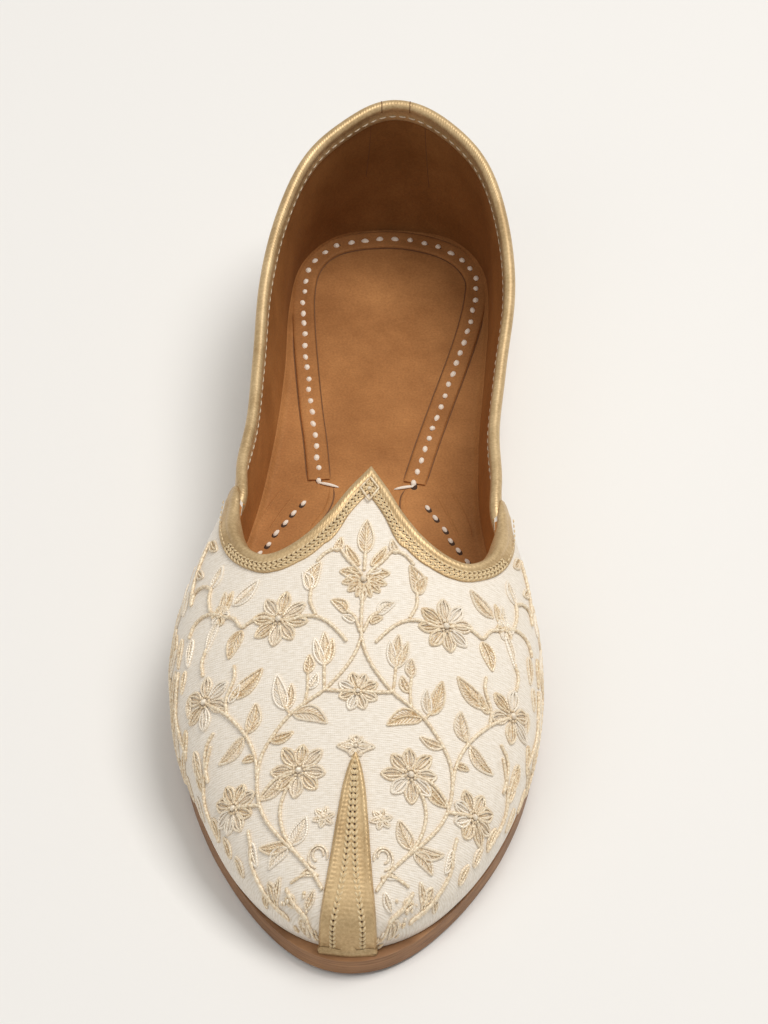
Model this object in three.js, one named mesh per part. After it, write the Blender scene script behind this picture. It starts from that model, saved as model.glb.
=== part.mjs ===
// A right-foot mojari: a slip-on shoe with a flat leather sole, a hollow lined upper, an embroidered
// vamp with a heart-shaped throat, gold edge bindings and a gold strip up the toe.
// Millimetres, +Z up, toe towards -Y, medial side towards +X.
// The origin is on the floor, under the middle of the shoe.
import * as THREE from "three";

// Driving dimensions
const soleLength = 280;
const soleThickness = 5;
const originStation = 140; // measured from the tip of the sole
const originSide = -2.1; // off the centre line, since the lateral side bulges further
const toeSpring = 1.2;
const springStart = 52; // station where the sole leaves the floor
const arch = 1; // hollow under the waist
const archFrom = 132;
const archTo = 200;
const heelSwell = 1.6; // how far the back of the upper swells out between the sole and the collar
const swellFrom = 236;
const gap = 0.3; // between pieces that meet
const liningWall = 1.8; // the upper's leather wall
const vampWall = 1.3; // embroidered cloth on its backing, over the upper
const insoleThickness = 1.6;
const bindingSkin = 0.8; // folded gold leather of both bindings
const bindingCorner = 0.5; // taken off where it folds over the edge
const vampBindingWidth = 4.8;
const bindingInside = 3.4; // how far both bindings reach down inside
const earGap = 0.0015; // share of the way round between the ear and the start of the collar binding
const stripThickness = 0.8;
const stripGap = 0.45; // between the strip and the vamp
const levelFoot = 4; // height over which the foot of the wall stands straight

const earShare = 0.52; // share of the way round from toe to heel where the ear and side seam are

// Mesh density
const vampColumns = 26; // from the toe to the ear, on each side
const quarterColumns = 18; // from the ear to the middle of the heel, on each side
const easeFrom = 0.32; // shares between which the wall lines turn from the vamp's way to upright
const easeTo = 0.62;
const footShare = 0.3;
const halvings = 40; // when a place on the last is searched for
const settling = 12; // how fast the collar leaves the ear's own height for its table
const step = 1e-3; // between two places when a direction is taken
const bodyRows = 9; // from the feather line to the lower edge of the vamp binding
const toeCrowding = 2.2; // how strongly these rows crowd towards the sole at the toe
const leastSlope = 0.35; // of a column across the top line, so that no row runs away along it

// A table of rows with named columns.
function table(names, rows) {
  const keys = names.split(" ");
  return rows.map((row) => Object.fromEntries(keys.map((key, i) => [key, row[i]])));
}

// Outline of the sole: half widths towards the medial and lateral side at stations from the toe.
const soleSections = table("station medial lateral", [
  [0, 0, 0],
  [2, 9.5, 9],
  [6, 16, 15.5],
  [14, 24, 23.5],
  [26, 32.5, 32],
  [42, 40.5, 40.5],
  [60, 46, 47],
  [85, 48.8, 51.2],
  [108, 46.5, 50],
  [135, 39, 44.5],
  [165, 33, 38],
  [200, 31.5, 34],
  [235, 33, 34],
  [260, 30.3, 31],
  [274, 18.5, 19],
  [280, 0, 0],
]);

// Sections of the last. At each station: half width where the wall meets the sole (seat), greatest
// half width (wide), the height of that above the base (wideAt) and the height of the ridge. Behind
// the throat the ridge is the crown of the closed form that the walls lean towards.
const lastSections = table("station seatMedial seatLateral wideMedial wideLateral wideAt ridge", [
  [7.4, 0, 0, 0, 0, 3, 7],
  [10, 11.2, 10.7, 11.9, 11.4, 4, 10.5],
  [16, 19.8, 19.3, 20.9, 20.4, 5, 14],
  [28, 29, 28.9, 31.3, 31, 7, 20],
  [45, 36.8, 36.8, 39.9, 39.9, 10, 28],
  [65, 41.5, 43, 45, 47.2, 13, 36],
  [88, 43.5, 46.3, 46, 50, 17, 43.5],
  [110, 40.5, 44.3, 42.8, 47.2, 21, 49],
  [135, 34.5, 39, 36.3, 39.5, 28, 54.5],
  [160, 29.5, 34, 32.6, 35.2, 42, 70],
  [185, 28, 31, 34, 35, 52, 90],
  [215, 28.5, 29.5, 35.8, 34.8, 56, 100],
  [240, 29.2, 30.2, 32.2, 30.6, 60, 105],
  [258, 27.6, 28.2, 25.4, 23.6, 60, 105],
  [270, 19.6, 20, 14.2, 12.1, 60, 105],
  [276, 0, 0, 0, 0, 60, 105],
]);

// The heart-shaped throat in plan, from its peak down to the low point and up to the ear.
const throatLine = table("station medial lateral", [
  [129.6, 0, 0],
  [123.2, 4.2, 4.8],
  [116, 8.6, 9.5],
  [109.6, 14.2, 15.2],
  [105.4, 20.5, 21.5],
  [104.6, 26.2, 27],
  [107.9, 30.8, 31.7],
  [113.6, 33.6, 34.7],
  [122, 34.9, 36.3],
  [131.5, 34.6, 36.1],
]);

// Height of the collar above the floor, from the ear to the back of the heel.
const collarLine = table("station height", [
  [131.5, 44],
  [150, 42],
  [175, 42],
  [200, 44.5],
  [225, 48],
  [250, 52.5],
  [266, 57],
  [276, 59.5],
]);

// Half width of the gold toe strip.
const stripWidths = table("station half", [
  [0, 9.2],
  [6, 8],
  [10, 7.2],
  [20, 5.7],
  [32, 4.2],
  [42, 2.6],
  [46, 1.4],
  [48, 0.4],
]);

const base = soleThickness + gap; // where the last and the upper stand
const toeEnd = lastSections[0].station;
const heelEnd = lastSections.at(-1).station;

// A smooth curve through a column of a table, as a function of the same table's "along" value.
function column(rows, key, along) {
  const xs = rows.map(along);
  const ys = rows.map((row) => row[key]);
  const slopes = xs.slice(1).map((x, i) => (ys[i + 1] - ys[i]) / (x - xs[i]));
  const tangents = xs.map((_, i) => {
    if (i === 0) return slopes[0];
    if (i === xs.length - 1) return slopes[i - 1];
    const before = xs[i] - xs[i - 1];
    const after = xs[i + 1] - xs[i];
    return (slopes[i - 1] * after + slopes[i] * before) / (before + after);
  });
  return (x) => {
    let i = 0;
    while (i < xs.length - 2 && x > xs[i + 1]) i += 1;
    const width = xs[i + 1] - xs[i];
    const t = (x - xs[i]) / width;
    const s = 1 - t;
    return (
      s * s * (1 + 2 * t) * ys[i] +
      t * s * s * width * tangents[i] +
      t * t * (3 - 2 * t) * ys[i + 1] -
      t * t * s * width * tangents[i + 1]
    );
  };
}

// Rounds both ends of an outline: the angle runs 0 to PI from the first station to the last.
function angleAt(station, first, last) {
  return Math.acos(THREE.MathUtils.clamp(1 - (2 * (station - first)) / (last - first), -1, 1));
}
function stationAt(angle, first, last) {
  return first + ((last - first) * (1 - Math.cos(angle))) / 2;
}

const soleAngle = (row) => angleAt(row.station, 0, soleLength);
const lastAngle = (row) => angleAt(row.station, toeEnd, heelEnd);
const soleHalf = {
  medial: column(soleSections, "medial", soleAngle),
  lateral: column(soleSections, "lateral", soleAngle),
};
const seatHalf = {
  medial: column(lastSections, "seatMedial", lastAngle),
  lateral: column(lastSections, "seatLateral", lastAngle),
};
const wideHalf = {
  medial: column(lastSections, "wideMedial", lastAngle),
  lateral: column(lastSections, "wideLateral", lastAngle),
};
const wideHeight = column(lastSections, "wideAt", lastAngle);
const ridgeHeight = column(lastSections, "ridge", lastAngle);
const collarHeight = column(collarLine, "height", (row) => row.station);
const stripHalf = column(stripWidths, "half", (row) => row.station);
const signOf = { medial: 1, lateral: -1 };

// A point of the last. Girth runs 0 at the sole, 1 at the widest height and 2 at the ridge.
function lastPoint(side, angle, girth) {
  const seat = seatHalf[side](angle);
  const wide = wideHalf[side](angle);
  const at = wideHeight(angle);
  const turn = ((girth - 1) * Math.PI) / 2;
  const half =
    girth < 1 ? seat + (wide - seat) * Math.sin((girth * Math.PI) / 2) : wide * Math.cos(turn);
  const height = girth < 1 ? at * girth : at + (ridgeHeight(angle) - at) * Math.sin(turn);
  const station = stationAt(angle, toeEnd, heelEnd);
  const swell = Math.max(0, (station - swellFrom) / (heelEnd - swellFrom)) ** 2;
  const swollen = heelSwell * swell * Math.sin((Math.PI * height) / (collarLine.at(-1).height - base));
  return new THREE.Vector3(signOf[side] * half, station + swollen, base + height);
}

// The outward normal there. Next to the sole it is level, so that walls stand on the sole.
function lastNormal(side, angle, girth) {
  const a0 = Math.max(0, angle - step);
  const a1 = Math.min(Math.PI, angle + step);
  const g0 = Math.max(0, girth - step);
  const g1 = Math.min(2, girth + step);
  const along = lastPoint(side, a1, girth).sub(lastPoint(side, a0, girth));
  const up = lastPoint(side, angle, g1).sub(lastPoint(side, angle, g0));
  const normal = along.cross(up).normalize();
  if (side === "lateral") normal.negate();
  const height = lastPoint(side, angle, girth).z - base;
  normal.z *= THREE.MathUtils.smoothstep(height, 0, levelFoot);
  return normal.normalize();
}

function offsetPoint(side, angle, girth, offset) {
  return lastPoint(side, angle, girth).addScaledVector(lastNormal(side, angle, girth), offset);
}

const girthOfWidth = (side, angle, half) =>
  1 + (2 / Math.PI) * Math.acos(THREE.MathUtils.clamp(half / wideHalf[side](angle), 0, 1));

function girthOfHeight(angle, height) {
  const at = wideHeight(angle);
  if (height < at) return height / at;
  return 1 + (2 / Math.PI) * Math.asin((height - at) / (ridgeHeight(angle) - at));
}

// The top line: the throat up to earShare, then the collar round to the heel.
const throatStation = column(throatLine, "station", (row) => throatLine.indexOf(row));
const throatHalf = {
  medial: column(throatLine, "medial", (row) => throatLine.indexOf(row)),
  lateral: column(throatLine, "lateral", (row) => throatLine.indexOf(row)),
};
function topLine(side, share) {
  if (share <= earShare) {
    const along = (share / earShare) * (throatLine.length - 1);
    const angle = angleAt(throatStation(along), toeEnd, heelEnd);
    return { angle, girth: girthOfWidth(side, angle, throatHalf[side](along)) };
  }
  const ear = topLine(side, earShare);
  const turn = (share - earShare) / (1 - earShare);
  const angle = THREE.MathUtils.lerp(ear.angle, Math.PI, turn);
  const earHeight = lastPoint(side, ear.angle, ear.girth).z - base;
  const height = collarHeight(stationAt(angle, toeEnd, heelEnd)) - base;
  const settle = Math.exp(-turn * settling); // from the ear's own height to the collar's
  return { angle, girth: girthOfHeight(angle, THREE.MathUtils.lerp(height, earHeight, settle)) };
}

// How far out a girth lies when wall lines are laid out: 1 at the sole, 0 at the ridge. Mostly the
// half width, with some of the girth itself so that the upright foot of the wall gets rows too.
function spreadOf(girth) {
  const half = girth < 1 ? 1 : Math.cos(((girth - 1) * Math.PI) / 2);
  return THREE.MathUtils.lerp(half, 1 - girth / 2, footShare);
}
function girthOfSpread(spread) {
  let [low, high] = [0, 2];
  for (let i = 0; i < halvings; i += 1) {
    const girth = (low + high) / 2;
    if (spreadOf(girth) > spread) low = girth;
    else high = girth;
  }
  return (low + high) / 2;
}

// Where a wall line crosses the last. Share goes round from toe to heel, rise from the feather
// line (0) to the top line (1). On the vamp the lines run straight in plan, on the quarters they
// stand up, and before the side seam one way eases into the other.
function wallPlace(side, share, rise) {
  const foot = share * Math.PI;
  const top = topLine(side, share);
  const upright = {
    angle: THREE.MathUtils.lerp(foot, top.angle, rise),
    girth: top.girth * rise,
  };
  const ease = THREE.MathUtils.smoothstep(share, easeFrom, easeTo);
  if (ease === 1) return upright;
  const spreadAt = (angle, girth) => wideHalf[side](angle) * spreadOf(girth);
  const spread = THREE.MathUtils.lerp(spreadAt(foot, 0), spreadAt(top.angle, top.girth), rise);
  const station = THREE.MathUtils.lerp(
    stationAt(foot, toeEnd, heelEnd),
    stationAt(top.angle, toeEnd, heelEnd),
    rise,
  );
  const angle = angleAt(station, toeEnd, heelEnd);
  const wide = wideHalf[side](angle);
  const girth = rise === 0 ? 0 : girthOfSpread(wide > 0 ? Math.min(1, spread / wide) : 0);
  return {
    angle: THREE.MathUtils.lerp(angle, upright.angle, ease),
    girth: THREE.MathUtils.lerp(girth, upright.girth, ease),
  };
}

function wallPoint(side, share, rise, offset) {
  const place = wallPlace(side, share, rise);
  return offsetPoint(side, place.angle, place.girth, offset);
}

// The top line at one column: its direction down the wall, the length of a unit of rise there, and
// how much longer a width square to the edge gets when it is measured down the column.
function edgeAt(side, share) {
  const top = wallPoint(side, share, 1, 0);
  const down = wallPoint(side, share, 1 - step, 0).sub(top);
  const perRise = down.length() / step;
  down.normalize();
  const [first, last] = share > earShare ? [earShare + 1e-6, 1] : [0, earShare];
  const behind = wallPoint(side, Math.max(share - step, first), 1, 0);
  const ahead = wallPoint(side, Math.min(share + step, last), 1, 0);
  const along = ahead.sub(behind).normalize();
  const slant = 1 / Math.max(leastSlope, along.cross(down).length());
  return { down, perRise, slant };
}

// The rows of a column: body rows from the feather line up, then the lower edge of the vamp
// binding, the reach of both bindings inside, and the top line itself. At the toe the body rows
// crowd towards the sole, since the wall climbs there in a few millimetres.
function risesOf({ side, share }) {
  const { perRise, slant } = edgeAt(side, share);
  const reach = (width) => 1 - (width * slant) / perRise;
  const crowding = THREE.MathUtils.lerp(toeCrowding, 1, Math.min(1, share / earShare));
  const body = Array.from({ length: bodyRows }, (_, row) => (row / bodyRows) ** crowding);
  const low = reach(vampBindingWidth);
  return [...body.map((rise) => rise * low), low, reach(bindingInside), 1];
}

// The columns round the shoe: medial side from toe to heel, then lateral side back to the toe.
const shares = [
  ...Array.from({ length: vampColumns }, (_, i) => (earShare * i) / vampColumns),
  ...Array.from(
    { length: quarterColumns + 1 },
    (_, i) => earShare + ((1 - earShare) * i) / quarterColumns,
  ),
].toSpliced(vampColumns + 1, 0, earShare + earGap);
const aroundShoe = [
  ...shares.map((share) => ({ side: "medial", share })),
  ...shares.slice(1, -1).reverse().map((share) => ({ side: "lateral", share })),
];
const acrossVamp = [
  ...shares.slice(1, vampColumns + 1).reverse().map((share) => ({ side: "lateral", share })),
  ...shares.slice(0, vampColumns + 1).map((share) => ({ side: "medial", share })),
];
const roundHeel = [
  ...shares.slice(vampColumns + 1).map((share) => ({ side: "medial", share })),
  ...shares.slice(vampColumns + 1, -1).reverse().map((share) => ({ side: "lateral", share })),
];

// The sole curls up at the toe, and everything on it follows.
function springRise(station) {
  const share = Math.max(0, (springStart - station) / springStart);
  return toeSpring * share * share;
}

// A closed geometry from rings of points: each ring is a closed loop, and neighbours are joined.
// Each face is split from its lower corner in one ring to its upper corner in the next, so that
// layers lie parallel. A loop of rings closes on itself; otherwise both ends are capped.
function ringSolid(rings, looped) {
  const size = rings[0].length;
  const points = rings.flat();
  const faces = [];
  const last = looped ? rings.length : rings.length - 1;
  for (let i = 0; i < last; i += 1) {
    const here = i * size;
    const next = ((i + 1) % rings.length) * size;
    for (let j = 0; j < size; j += 1) {
      const k = (j + 1) % size;
      const rising = points[here + k].z > points[here + j].z;
      if (rising) faces.push(here + j, next + j, next + k, here + j, next + k, here + k);
      else faces.push(here + j, next + j, here + k, next + j, next + k, here + k);
    }
  }
  if (!looped) {
    const capOf = (start, flip) => {
      // a strip across the ring, which suits the long thin sections used here
      for (let a = 0, b = size - 1; b - a > 1; ) {
        const triangle = [start + a, start + a + 1, start + b];
        faces.push(...(flip ? triangle : triangle.reverse()));
        a += 1;
        if (b - a > 1) {
          const second = [start + a, start + b - 1, start + b];
          faces.push(...(flip ? second : second.reverse()));
          b -= 1;
        }
      }
    };
    capOf(0, true);
    capOf((rings.length - 1) * size, false);
  }
  return closedGeometry(points, faces);
}

// Places the points in the part's frame, and turns the faces of a closed surface outwards.
function closedGeometry(points, faces) {
  const placed = points.flatMap((p) => [
    p.x - originSide,
    p.y - originStation,
    p.z + springRise(p.y),
  ]);
  const geometry = new THREE.BufferGeometry();
  geometry.setAttribute("position", new THREE.Float32BufferAttribute(placed, 3));
  geometry.setIndex(faces);
  const position = geometry.getAttribute("position");
  const index = geometry.getIndex().array;
  const [a, b, c] = [new THREE.Vector3(), new THREE.Vector3(), new THREE.Vector3()];
  let volume = 0;
  for (let i = 0; i < index.length; i += 3) {
    a.fromBufferAttribute(position, index[i]);
    b.fromBufferAttribute(position, index[i + 1]);
    c.fromBufferAttribute(position, index[i + 2]);
    volume += a.dot(b.cross(c));
  }
  if (volume < 0) index.reverse();
  geometry.computeVertexNormals();
  return geometry;
}

// A wall between two offsets from the last, from the feather line to the top line.
function wallRing(place, inner, outer) {
  const rises = risesOf(place);
  const line = (offset) => rises.map((rise) => wallPoint(place.side, place.share, rise, offset));
  return [...line(outer), ...line(inner).reverse()];
}

const upperGeometry = () =>
  ringSolid(
    aroundShoe.map((place) => wallRing(place, 0, liningWall)),
    true,
  );

const vampInner = liningWall + gap;
const vampOuter = vampInner + vampWall;
const vampGeometry = () =>
  ringSolid(
    acrossVamp.map((place) => wallRing(place, vampInner, vampOuter)),
    false,
  );

// A strip folded over an edge that lies between the offsets 0 and outer. It follows the wall's own
// rows: outside it reaches down by outsideRows of them, inside by one.
function bindingGeometry(places, outer, outsideRows) {
  const sections = places.map((place) => {
    const { side, share } = place;
    const { down, slant } = edgeAt(side, share);
    const rises = risesOf(place).slice(-1 - outsideRows);
    const wall = (offset) => rises.map((rise) => wallPoint(side, share, rise, offset));
    const past = (offset, by) => wallPoint(side, share, 1, offset).addScaledVector(down, -by * slant);
    const outSkin = outer + gap + bindingSkin;
    const inSkin = -gap - bindingSkin;
    return [
      ...wall(outSkin),
      past(outSkin, gap),
      past(outSkin - bindingCorner, gap + bindingSkin),
      past(inSkin + bindingCorner, gap + bindingSkin),
      past(inSkin, gap),
      ...wall(inSkin).slice(-2).reverse(),
      ...wall(-gap).slice(-2),
      past(-gap, gap),
      past(outer + gap, gap),
      ...wall(outer + gap).reverse(),
    ];
  });
  return ringSolid(sections, false);
}

// The toe strip lies on the vamp's ridge and widens down to the sole.
const stripColumns = 6;
const stripRows = 12;
function stripGeometry() {
  const shareAtWidth = (side, rise, half) => {
    let low = 0;
    let high = earShare / 2;
    for (let i = 0; i < halvings; i += 1) {
      const share = (low + high) / 2;
      if (Math.abs(wallPoint(side, share, rise, vampOuter).x) < half) low = share;
      else high = share;
    }
    return (low + high) / 2;
  };
  const topStation = stripWidths.at(-1).station;
  const peak = throatLine[0].station;
  const topRise = (topStation - toeEnd) / (peak - toeEnd);
  const inner = vampOuter + stripGap;
  const outer = inner + stripThickness;
  const rings = Array.from({ length: stripRows + 1 }, (_, row) => {
    const rise = topRise * (row / stripRows) ** 2;
    const ridge = wallPoint("medial", 0, rise, 0);
    const half = stripHalf(ridge.y);
    const lane = (i, offset) => {
      const side = i < 0 ? "lateral" : "medial";
      const share = shareAtWidth(side, rise, (half * Math.abs(i)) / (stripColumns / 2));
      return wallPoint(side, i === 0 ? 0 : share, rise, offset);
    };
    const lanes = Array.from({ length: stripColumns + 1 }, (_, i) => i - stripColumns / 2);
    return [...lanes.map((i) => lane(i, outer)), ...lanes.reverse().map((i) => lane(i, inner))];
  });
  return ringSolid(rings, false);
}

// The outsole: its own outline, with rounded lower and upper edges, an arch and the toe spring.
const soleEdge = 0.6; // how far both edges are rounded back
function outsoleGeometry() {
  const steps = 40;
  const outline = [
    ...Array.from({ length: steps }, (_, i) => ({ side: "medial", angle: (Math.PI * i) / steps })),
    ...Array.from({ length: steps }, (_, i) => ({
      side: "lateral",
      angle: (Math.PI * (steps - i)) / steps,
    })),
  ];
  const edge = ({ side, angle }, inset, height) => {
    const station = stationAt(angle, 0, soleLength);
    const half = soleHalf[side](angle);
    const low = Math.max(0, angle - step);
    const high = Math.min(Math.PI, angle + step);
    const along = new THREE.Vector2(
      signOf[side] * (soleHalf[side](high) - soleHalf[side](low)),
      stationAt(high, 0, soleLength) - stationAt(low, 0, soleLength),
    ).normalize();
    const out = new THREE.Vector2(along.y, -along.x).multiplyScalar(signOf[side]);
    const x = signOf[side] * half - out.x * inset;
    const y = station - out.y * inset;
    return new THREE.Vector3(x, y, height + (height < soleThickness / 2 ? archRise(y) : 0));
  };
  const archRise = (station) => {
    const share = THREE.MathUtils.clamp((station - archFrom) / (archTo - archFrom), 0, 1);
    return arch * Math.sin(share * Math.PI) ** 2;
  };
  // a flat plate is a stack of outlines, closed at the top and bottom by a strip along its length
  const layers = [
    outline.map((place) => edge(place, soleEdge, 0)),
    outline.map((place) => edge(place, 0, soleEdge)),
    outline.map((place) => edge(place, 0, soleThickness - soleEdge)),
    outline.map((place) => edge(place, soleEdge, soleThickness)),
  ];
  return plateSolid(layers);
}

// A closed plate from a stack of outlines that all start at the toe and turn the same way.
function plateSolid(layers) {
  const size = layers[0].length;
  const points = layers.flat();
  const faces = [];
  for (let layer = 0; layer < layers.length - 1; layer += 1) {
    for (let i = 0; i < size; i += 1) {
      const next = (i + 1) % size;
      const [a, b] = [layer * size + i, layer * size + next];
      faces.push(a, b, b + size, a, b + size, a + size);
    }
  }
  const top = (layers.length - 1) * size;
  for (let i = 0; i < size / 2; i += 1) {
    // opposite points of the outline: i on the medial side, size - i on the lateral side
    const [m0, m1] = [i, i + 1];
    const [l0, l1] = [(size - i) % size, size - i - 1];
    const pair = [];
    if (i > 0) pair.push([m0, l0, m1]);
    if (m1 !== l1) pair.push([m1, i > 0 ? l0 : m0, l1]);
    for (const [p, q, r] of pair) {
      faces.push(p, q, r);
      faces.push(top + p, top + r, top + q);
    }
  }
  return closedGeometry(points, faces);
}

// The insole lies on the sole inside the upper.
function insoleGeometry() {
  const clear = 0.8; // to the wall
  const layer = (height) =>
    aroundShoe.map(({ side, share }) => {
      const angle = share * Math.PI;
      const point = offsetPoint(side, angle, 0, -clear);
      point.z = height;
      return point;
    });
  return plateSolid([layer(base), layer(base + insoleThickness)]);
}

function finish(colour, roughness, metalness) {
  return new THREE.MeshStandardMaterial({ color: colour, roughness, metalness });
}
const soleLeather = finish(0x8a5a36, 0.6, 0);
const liningLeather = finish(0x8f5f38, 0.55, 0);
const ivoryCloth = finish(0xe9e2d6, 0.75, 0);
const goldLeather = finish(0xb69a62, 0.4, 0.55);

const shoe = new THREE.Group();
function addPiece(name, geometry, material) {
  const mesh = new THREE.Mesh(geometry, material);
  mesh.name = name;
  shoe.add(mesh);
}

addPiece("outsole", outsoleGeometry(), soleLeather);
addPiece("insole", insoleGeometry(), liningLeather);
addPiece("upper", upperGeometry(), liningLeather);
addPiece("vamp", vampGeometry(), ivoryCloth);
addPiece("vamp_binding", bindingGeometry(acrossVamp, vampOuter, 2), goldLeather);
addPiece("collar_binding", bindingGeometry(roundHeel, liningWall, 1), goldLeather);
addPiece("toe_strip", stripGeometry(), goldLeather);

export default shoe;
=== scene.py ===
import bpy
import math
import random
import numpy as np
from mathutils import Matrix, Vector


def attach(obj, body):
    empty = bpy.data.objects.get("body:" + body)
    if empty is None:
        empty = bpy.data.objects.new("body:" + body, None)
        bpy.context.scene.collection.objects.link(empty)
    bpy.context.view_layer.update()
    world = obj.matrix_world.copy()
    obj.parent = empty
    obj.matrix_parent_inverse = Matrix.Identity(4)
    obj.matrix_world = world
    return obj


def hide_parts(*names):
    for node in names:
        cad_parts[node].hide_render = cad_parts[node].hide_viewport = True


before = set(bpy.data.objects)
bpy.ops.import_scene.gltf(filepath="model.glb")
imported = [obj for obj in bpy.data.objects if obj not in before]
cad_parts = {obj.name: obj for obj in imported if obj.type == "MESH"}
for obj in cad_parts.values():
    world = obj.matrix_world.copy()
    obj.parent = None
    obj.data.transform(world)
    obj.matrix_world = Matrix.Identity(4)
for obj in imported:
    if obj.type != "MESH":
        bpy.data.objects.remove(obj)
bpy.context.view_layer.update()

# sizes in mm; stations run from the tip of the sole to the heel; the medial side is +1, the lateral -1
shoe = dict(
    soleLength=280, soleThickness=5, toeSpring=1.2, springStart=52, arch=1, archFrom=132, archTo=200,
    gap=0.3, wall=1.8, vampOuter=3.4, insoleThickness=1.6,
    originStation=140, originSide=-2.1, heelSwell=1.6, swellFrom=236, levelFoot=4,
    earShare=0.52, easeFrom=0.32, easeTo=0.62, footShare=0.3,
)
soleRows = [  # station, medial, lateral half width
    (0, 0, 0), (2, 9.5, 9), (6, 16, 15.5), (14, 24, 23.5), (26, 32.5, 32), (42, 40.5, 40.5), (60, 46, 47),
    (85, 48.8, 51.2), (108, 46.5, 50), (135, 39, 44.5), (165, 33, 38), (200, 31.5, 34), (235, 33, 34),
    (260, 30.3, 31), (274, 18.5, 19), (280, 0, 0),
]
lastRows = [  # station, seat in, seat out, wide in, wide out, height of the widest place, ridge
    (7.4, 0, 0, 0, 0, 3, 7), (10, 11.2, 10.7, 11.9, 11.4, 4, 10.5), (16, 19.8, 19.3, 20.9, 20.4, 5, 14),
    (28, 29, 28.9, 31.3, 31, 7, 20), (45, 36.8, 36.8, 39.9, 39.9, 10, 28),
    (65, 41.5, 43, 45, 47.2, 13, 36), (88, 43.5, 46.3, 46, 50, 17, 43.5),
    (110, 40.5, 44.3, 42.8, 47.2, 21, 49), (135, 34.5, 39, 36.3, 39.5, 28, 54.5),
    (160, 29.5, 34, 32.6, 35.2, 42, 70), (185, 28, 31, 34, 35, 52, 90),
    (215, 28.5, 29.5, 35.8, 34.8, 56, 100), (240, 29.2, 30.2, 32.2, 30.6, 60, 105),
    (258, 27.6, 28.2, 25.4, 23.6, 60, 105), (270, 19.6, 20, 14.2, 12.1, 60, 105),
    (276, 0, 0, 0, 0, 60, 105),
]
throatRows = [  # station, medial, lateral: the heart-shaped edge in plan
    (129.6, 0, 0), (123.2, 4.2, 4.8), (116, 8.6, 9.5), (109.6, 14.2, 15.2), (105.4, 20.5, 21.5),
    (104.6, 26.2, 27), (107.9, 30.8, 31.7), (113.6, 33.6, 34.7), (122, 34.9, 36.3), (131.5, 34.6, 36.1),
]
collarRows = [  # station, height above the floor
    (131.5, 44), (150, 42), (175, 42), (200, 44.5), (225, 48), (250, 52.5), (266, 57), (276, 59.5),
]
stripRows = [  # station, half width of the gold toe strip
    (0, 9.2), (6, 8), (10, 7.2), (20, 5.7), (32, 4.2), (42, 2.6), (46, 1.4), (48, 0.4),
]


def smoothCurve(xs, ys):
    xs, ys = np.array(xs, float), np.array(ys, float)
    slopes = np.diff(ys) / np.diff(xs)
    tangents = np.empty_like(xs)
    tangents[0], tangents[-1] = slopes[0], slopes[-1]
    before, after = np.diff(xs)[:-1], np.diff(xs)[1:]
    tangents[1:-1] = (slopes[:-1] * after + slopes[1:] * before) / (before + after)

    def at(x):
        x = np.asarray(x, float)
        i = np.clip(np.searchsorted(xs, x, side="right") - 1, 0, len(xs) - 2)
        width = xs[i + 1] - xs[i]
        t = (x - xs[i]) / width
        s = 1 - t
        rising = s * s * (1 + 2 * t) * ys[i] + t * s * s * width * tangents[i]
        return rising + t * t * (3 - 2 * t) * ys[i + 1] - t * t * s * width * tangents[i + 1]

    return at


def angleAt(station, first, last):
    return np.arccos(np.clip(1 - 2 * (np.asarray(station, float) - first) / (last - first), -1, 1))


def stationAt(angle, first, last):
    return first + (last - first) * (1 - np.cos(angle)) / 2


def smoothStep(x, low, high):
    t = np.clip((np.asarray(x, float) - low) / (high - low), 0, 1)
    return t * t * (3 - 2 * t)


def unit(vectors):
    return vectors / (np.linalg.norm(vectors, axis=-1, keepdims=True) + 1e-12)


toeEnd, heelEnd = lastRows[0][0], lastRows[-1][0]
baseHeight = shoe["soleThickness"] + shoe["gap"]
soleAngles = angleAt([r[0] for r in soleRows], 0, shoe["soleLength"])
soleMedial = smoothCurve(soleAngles, [r[1] for r in soleRows])
soleLateral = smoothCurve(soleAngles, [r[2] for r in soleRows])
lastAngles = angleAt([r[0] for r in lastRows], toeEnd, heelEnd)
lastColumn = [smoothCurve(lastAngles, [r[k] for r in lastRows]) for k in range(7)]
collarHeight = smoothCurve([r[0] for r in collarRows], [r[1] for r in collarRows])
throatColumn = [smoothCurve(range(len(throatRows)), [r[k] for r in throatRows]) for k in range(3)]
stripHalf = smoothCurve([r[0] for r in stripRows], [r[1] for r in stripRows])


def halfWidth(side, angle, medial, lateral):
    return np.where(side > 0, lastColumn[medial](angle), lastColumn[lateral](angle))


def lastPoint(side, angle, girth):  # girth: 0 at the sole, 1 at the widest place, 2 at the ridge
    seat, wide = halfWidth(side, angle, 1, 2), halfWidth(side, angle, 3, 4)
    at, ridge = lastColumn[5](angle), lastColumn[6](angle)
    turn = (girth - 1) * np.pi / 2
    low = girth < 1
    half = np.where(low, seat + (wide - seat) * np.sin(girth * np.pi / 2), wide * np.cos(turn))
    height = np.where(low, at * girth, at + (ridge - at) * np.sin(turn))
    station = stationAt(angle, toeEnd, heelEnd)
    swell = np.maximum(0, (station - shoe["swellFrom"]) / (heelEnd - shoe["swellFrom"])) ** 2
    back = shoe["heelSwell"] * swell * np.sin(np.pi * height / (collarRows[-1][1] - baseHeight))
    return np.stack([side * half, station + back, baseHeight + height], axis=-1)


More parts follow.
